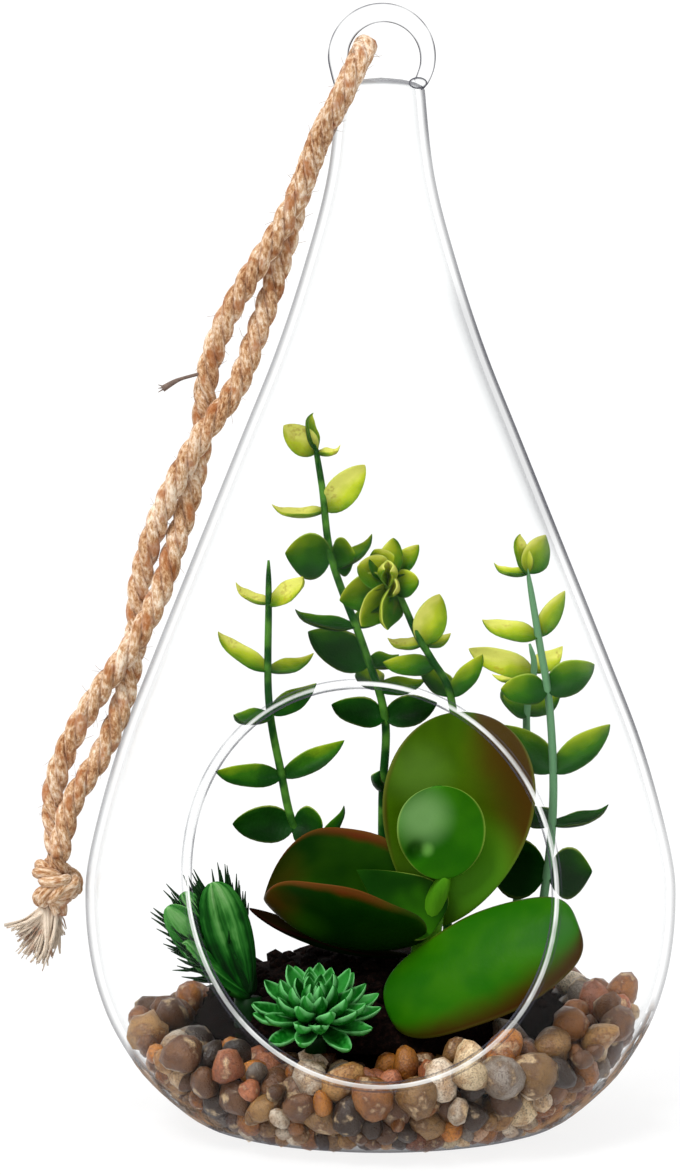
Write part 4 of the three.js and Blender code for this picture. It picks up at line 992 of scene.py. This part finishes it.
for number, ring in enumerate(ROSETTE_RINGS):
    for i in range(ring["leaves"]):
        turn = FULL_TURN * (i + 0.5 * number) / ring["leaves"] + rng.uniform(-0.16, 0.16)
        rise = math.radians(ring["lift"] + rng.uniform(-9, 9))
        x, y = math.cos(turn), math.sin(turn)
        reach = Vector((x * math.cos(rise), y * math.cos(rise), math.sin(rise)))
        face = Vector((-x * math.sin(rise), -y * math.sin(rise), math.cos(rise)))
        tip = ROSETTE_HEART + lean @ (reach * ring["length"] * rng.uniform(0.84, 1.04))
        add_leaf(rosette_mesh, ROSETTE_HEART, tip, lean @ face, ring["width"], ROSETTE_LEAF_THICK,
                 peak=0.6, taper=0.85, sag=1.1, cup=1.5, around=14, along=12, groove=0.35, wave=0.25,
                 point=1.0, tint=rng.uniform(-0.5, 0.5))
rosette_skin = Finish("rosette_skin")
edge, along, tint = (rosette_skin.attribute(name) for name in ("edge", "along", "tint"))
cloud = rosette_skin.noise(rosette_skin.place(), 0.35, detail=2.0)
streak = rosette_skin.noise(rosette_skin.place((1, 1, 0.3)), 1.2, detail=3.0)
emerald = rosette_skin.mix((cloud * 0.6 + streak * 0.4 + tint * 0.25).step(0.36, 0.62),
                           paint(2, 76, 8), paint(40, 130, 44))
deep = rosette_skin.mix((1 - along).step(0.3, 0.85), emerald, paint(2, 34, 3))
# Pale edges and tips: partly the leaves' own colour, partly painted highlight.
pale_edge_and_highlight = (edge * 0.75 + along * 0.4 + streak * 0.2).step(0.86, 1.28) * 0.85
rosette_green = rosette_skin.mix(pale_edge_and_highlight, deep, paint(122, 202, 126))
rosette_skin.set(rosette_skin.surface, {"Base Color": rosette_green, "Roughness": 0.42,
                                        "Specular IOR Level": 0.08,
                                        "Normal": rosette_skin.bump(cloud, 0.15)})
finish_piece(rosette_mesh, "rosette_leaves", rosette_skin, "rosette_green", "rosette")

# ---- Pebbles -----------------------------------------------------------------------------------
# Mixed river pebbles, 5 to 10 mm, poured in to a surface that falls towards the window. They start
# on a loose grid and are pushed apart until they rest against each other and the glass.
BED_BACK_HEIGHT, BED_FRONT_DROP, BED_FRONT_REACH = 26.5, 11, 53
BED_SIDE_SLOPE, BED_SIDE_RISE, BED_SIDE_REACH = 0.05, 3.5, 50
MOUND_CENTRE, MOUND_RADII, MOUND_FLOOR = Vector((0, 7, 20)), Vector((38, 32, 15)), 19
PEBBLE_SMALL, PEBBLE_SPAN = 2.1, 2.6
PEBBLE_GAP = 0.25
PEBBLE_GRID = np.arange(-56, 57, 6.6)
PEBBLE_LAYERS = (4.5, 9.5, 14.5, 19.5, 24.5, 29.5)
POUR_JITTER, POUR_REACH = 2.5, 57
POUR_STEPS, POUR_FALL, POUR_PUSH, STONE_CONTACT = 70, 0.12, 0.3, 0.84
SEEN_DEPTH, SEEN_BEHIND_GLASS = 9, 13
# Each colour, and how common it is.
PEBBLE_COLOURS = [
    ((158, 118, 68), 20), ((104, 66, 32), 20), ((180, 112, 36), 12), ((214, 190, 152), 12),
    ((128, 118, 108), 8), ((164, 100, 66), 8), ((50, 34, 22), 13), ((132, 82, 34), 16),
    ((232, 214, 190), 12), ((190, 150, 118), 10),
]


def bed_height(x, y):
    """The pebbles' surface: lower towards the window, and higher up the glass at the sides."""
    front = np.maximum(-y, 0) / BED_FRONT_REACH
    side = BED_SIDE_SLOPE * x + BED_SIDE_RISE * (x / BED_SIDE_REACH) ** 2
    return BED_BACK_HEIGHT - BED_FRONT_DROP * front ** 1.5 + side


def hold_in(places, sizes):
    """Moves pebble centres back inside the glass, under the bed's surface and out of the soil."""
    x, y, z = places.T
    z = np.maximum(z, GLASS_WALL + PEBBLE_GAP + sizes * 0.8)
    z = np.minimum(z, bed_height(x, y) - sizes * 0.55)
    reach = np.hypot(x, y)
    low_reach = wall_radius(z - sizes * 0.45)
    most = np.minimum(wall_radius(z), low_reach + 1.2) - GLASS_WALL - PEBBLE_GAP - sizes
    pull = np.minimum(1, most / np.maximum(reach, 1e-6))
    held = np.column_stack([x * pull, y * pull, z])
    offset = (held - np.array(MOUND_CENTRE)) / (np.array(MOUND_RADII) + sizes[:, None] * 0.45)
    depth = np.linalg.norm(offset, axis=1)
    inside = (depth < 1) & (held[:, 2] > MOUND_FLOOR - sizes)
    held[inside, 2] = np.minimum(held[inside, 2], MOUND_FLOOR - sizes[inside] * 0.8)
    return held


pour = np.random.default_rng(21)
spots = np.array([(x, y, z) for z in PEBBLE_LAYERS for x in PEBBLE_GRID for y in PEBBLE_GRID], float)
spots += pour.uniform(-POUR_JITTER, POUR_JITTER, spots.shape)
x, y, z = spots.T
spots = spots[(np.hypot(x, y) < POUR_REACH) & (z < bed_height(x, y) + 1)]
pebble_sizes = PEBBLE_SMALL + PEBBLE_SPAN * pour.random(len(spots)) ** 1.7
contact = (pebble_sizes[:, None] + pebble_sizes) * STONE_CONTACT
for _ in range(POUR_STEPS):
    square = (spots ** 2).sum(axis=1)
    distance = np.sqrt(np.maximum(square[:, None] + square - 2 * spots @ spots.T, 1e-6))
    np.fill_diagonal(distance, 1e3)
    push = POUR_PUSH * np.maximum(0, contact - distance) / distance
    spots = spots * (1 + push.sum(axis=1)[:, None]) - push @ spots
    spots[:, 2] -= POUR_FALL
    spots = hold_in(spots, pebble_sizes)

# Only the stones that can be seen are kept, and none that would stand in a leaf or a root.
x, y, z = spots.T
behind_glass = np.hypot(x, y) > wall_radius(z) - SEEN_BEHIND_GLASS
shown = (bed_height(x, y) - z < SEEN_DEPTH) | behind_glass
spots, pebble_sizes = spots[shown], pebble_sizes[shown]
plants = [piece for slot, pieces in pieces_by_slot.items() if slot.endswith("green") for piece in pieces]
grown = np.array([vertex.co[:] for piece in plants for vertex in piece.data.vertices]) / MM
grown = grown[grown[:, 2] < BED_BACK_HEIGHT + 10]
room = np.array([np.linalg.norm(grown - spot, axis=1).min() for spot in spots])
free = room > pebble_sizes * 0.8
spots, pebble_sizes = spots[free], pebble_sizes[free]

# Every stone is one ball, flattened, lumped and turned in its own way, with its own colour.
one_stone = bmesh.new()
bmesh.ops.create_icosphere(one_stone, subdivisions=2, radius=1)
STONE_POINTS = len(one_stone.verts)
plain_stone = bpy.data.meshes.new("plain_stone")
one_stone.to_mesh(plain_stone)
one_stone.free()
pebble_mesh = bmesh.new()
for _ in spots:
    pebble_mesh.from_mesh(plain_stone)
stone_colour = pebble_mesh.verts.layers.float_color.new("stone_colour")
stone_seed = pebble_mesh.verts.layers.float.new("stone_seed")
palette = [paint(*colour) for colour, count in PEBBLE_COLOURS for _ in range(count)]
pebble_mesh.verts.ensure_lookup_table()
for i, (spot, size) in enumerate(zip(spots, pebble_sizes)):
    stone = pebble_mesh.verts[i * STONE_POINTS:(i + 1) * STONE_POINTS]
    flat, narrow = pour.uniform(0.58, 0.9), pour.uniform(0.7, 1.0)
    turn = Quaternion(pour.normal(size=4)).normalized().to_matrix()
    lump = Vector(pour.normal(size=3))
    colour = palette[pour.integers(len(palette))]
    shade = pour.uniform(0.55, 1.35)
    seed = pour.random()
    for vertex in stone:
        swell = 1 + 0.11 * math.sin(2.3 * vertex.co.dot(lump))
        swell += 0.08 * math.cos(4.1 * vertex.co.x + 5 * lump.y)
        shaped = Vector((vertex.co.x, vertex.co.y * narrow, vertex.co.z * flat)) * swell * size * 1.06
        vertex.co = turn @ shaped + Vector(spot)
        vertex[stone_colour] = (*(channel * shade for channel in colour[:3]), 1)
        vertex[stone_seed] = seed

pebble = Finish("river_pebble")
seed = pebble.attribute("stone_seed")
shift = pebble.node("ShaderNodeCombineXYZ", {"X": seed * 900.0, "Y": seed * 370.0})
own_place = pebble.node("ShaderNodeVectorMath", {0: pebble.place(), 1: shift}, operation="ADD")
veins = pebble.noise(own_place, 0.28, detail=4.0)
grain = pebble.noise(own_place, 2.6, detail=3.0)
speckle = pebble.noise(own_place, 5.5, detail=1.0).step(0.62, 0.72)
stone = pebble.attribute("stone_colour", out="Color")
banded = pebble.mix(veins.step(0.4, 0.62) * 0.8, stone, paint(176, 140, 100), mode="MULTIPLY")
paled = pebble.mix(veins.step(0.56, 0.7) * 0.6, banded, paint(226, 196, 152))
dusted = pebble.mix(grain.step(0.45, 0.7) * 0.6, paled, paint(54, 32, 16))
pebble_colour = pebble.mix(speckle * 0.6, dusted, paint(36, 22, 14))
pebble.set(pebble.surface, {"Base Color": pebble_colour, "Roughness": 0.2 + grain * 0.25,
                            "Specular IOR Level": 0.45,
                            "Normal": pebble.bump(veins * 0.6 + grain * 0.4, 0.7)})
finish_piece(pebble_mesh, "river_pebbles", pebble, "pebbles", "pebble_bed")

# ---- Soil --------------------------------------------------------------------------------------
# Dark crumbly potting mix heaped in the middle, with coarse bark grains on it. Its fine part has
# run down between the pebbles: a dark body under the outer stones, which also puts painted shade in
# the gaps behind them.
FINE_SOIL_AND_SHADE_INSET = 6.5
FINE_SOIL_AND_SHADE_TOPS = ((20, (-0.03, -0.19, 1)), (23, (0, 0, 1)))
CRUMBS, CRUMB_SMALL, CRUMB_BIG = 320, 0.6, 2.1
HEAP_ROUGHNESS = 0.045
soil_mesh = bmesh.new()
spun(soil_mesh, drop_profile(GLASS_WALL + FINE_SOIL_AND_SHADE_INSET), 48, 0)
for height, slope in FINE_SOIL_AND_SHADE_TOPS:
    cut = bmesh.ops.bisect_plane(soil_mesh, geom=[*soil_mesh.verts, *soil_mesh.edges, *soil_mesh.faces],
                                 plane_co=(0, 0, height), plane_no=slope, clear_outer=True)["geom_cut"]
    bmesh.ops.holes_fill(soil_mesh, edges=only(bmesh.types.BMEdge, cut))
for _ in range(CRUMBS):
    angle, share = rng.uniform(0, FULL_TURN), math.sqrt(rng.uniform(0.02, 0.94))
    up = Vector((share * math.cos(angle), share * math.sin(angle), math.sqrt(1 - share ** 2)))
    spot = MOUND_CENTRE + up * MOUND_RADII
    size = rng.uniform(CRUMB_SMALL, CRUMB_BIG)
    crumb = bmesh.ops.create_icosphere(soil_mesh, subdivisions=1, radius=size)["verts"]
    bmesh.ops.scale(soil_mesh, vec=(rng.uniform(0.7, 1.5), 1, rng.uniform(0.6, 1)), verts=crumb)
    bmesh.ops.rotate(soil_mesh, matrix=Matrix.Rotation(rng.uniform(0, 6), 3, "Z"), verts=crumb)
    bmesh.ops.translate(soil_mesh, vec=spot + Vector((0, 0, 0.2)), verts=crumb)
heap = bmesh.ops.create_icosphere(soil_mesh, subdivisions=5, radius=1)["verts"]
for vertex in heap:
    out = vertex.co.copy()
    rough = noise.fractal(out * 5.5, 0.9, 2.1, 4)
    vertex.co = MOUND_CENTRE + out * MOUND_RADII * (1 + HEAP_ROUGHNESS * rough)
heap_parts = {part for vertex in heap for part in (vertex, *vertex.link_edges, *vertex.link_faces)}
bmesh.ops.bisect_plane(soil_mesh, geom=[*heap_parts], plane_co=(0, 0, MOUND_FLOOR), plane_no=(0, 0, 1),
                       clear_inner=True)
bmesh.ops.holes_fill(soil_mesh, edges=[edge for edge in soil_mesh.edges if edge.is_boundary])
soil = Finish("potting_soil")
crumbs = soil.noise(soil.place(), 0.9, detail=6.0, roughness=0.7)
soil_colour = soil.node("ShaderNodeValToRGB", {"Fac": crumbs}, stops=[
    (0.3, paint(3, 2, 2)), (0.5, paint(14, 8, 6)), (0.66, paint(36, 20, 16)), (0.88, paint(84, 58, 42))])
soil.set(soil.surface, {"Base Color": soil_colour, "Roughness": 0.95, "Specular IOR Level": 0.03,
                        "Normal": soil.bump(crumbs, 0.8)})
finish_piece(soil_mesh, "potting_soil", soil, "soil", "soil_mound")

# ---- Floor and light ---------------------------------------------------------------------------
# A white paper sweep: level under the terrarium, curved up to a wall well behind it. One broad soft
# sun from high on the left in front, and an even white surround that fills its shadows.
SWEEP_FRONT, SWEEP_BACK, SWEEP_HALF_WIDTH = -6.0, 3.0, 5.0
SWEEP_BEND, SWEEP_HEIGHT, SWEEP_STEPS = 1.0, 4.0, 12
FLOOR_DROP = 0.0002
SUN_FROM, SUN_STRENGTH, SUN_SPREAD = Vector((-0.42, -0.52, 1.0)), 2.6, math.radians(24)
SURROUND_STRENGTH = 0.8
sweep_line = [Vector((-SWEEP_HALF_WIDTH, SWEEP_FRONT, 0))]
for i in range(SWEEP_STEPS + 1):
    angle = math.pi / 2 * i / SWEEP_STEPS
    sweep_line.append(Vector((-SWEEP_HALF_WIDTH, SWEEP_BACK + SWEEP_BEND * math.sin(angle),
                              SWEEP_BEND * (1 - math.cos(angle)))))
sweep_line.append(Vector((-SWEEP_HALF_WIDTH, SWEEP_BACK + SWEEP_BEND, SWEEP_HEIGHT)))
sweep_bm = bmesh.new()
sweep_points = [sweep_bm.verts.new(point - Vector((0, 0, FLOOR_DROP))) for point in sweep_line]
sweep_edges = [sweep_bm.edges.new(pair) for pair in zip(sweep_points, sweep_points[1:])]
widened = bmesh.ops.extrude_edge_only(sweep_bm, edges=sweep_edges)["geom"]
bmesh.ops.translate(sweep_bm, vec=(2 * SWEEP_HALF_WIDTH, 0, 0), verts=only(bmesh.types.BMVert, widened))
bmesh.ops.recalc_face_normals(sweep_bm, faces=sweep_bm.faces)
sweep = mesh_object(sweep_bm, "paper_sweep")
paper = Finish("white_paper")
paper.set(paper.surface, {"Base Color": (0.14, 0.14, 0.14, 1), "Roughness": 0.9, "Specular IOR Level": 0.0,
                          "Emission Color": (1, 1, 1, 1), "Emission Strength": 0.86})
sweep.data.materials.append(paper.material)

world = bpy.data.worlds.new("studio")
world.use_nodes = True
surround = world.node_tree.nodes["Background"]
surround.inputs["Color"].default_value = (1, 1, 1, 1)
surround.inputs["Strength"].default_value = SURROUND_STRENGTH
bpy.context.scene.world = world
bpy.context.scene.view_settings.view_transform = "Standard"

sun_data = bpy.data.lights.new("soft_sun", "SUN")
sun_data.energy = SUN_STRENGTH
sun_data.angle = SUN_SPREAD
sun = placed_object("soft_sun", sun_data)
sun.rotation_euler = SUN_FROM.to_track_quat("Z", "Y").to_euler()
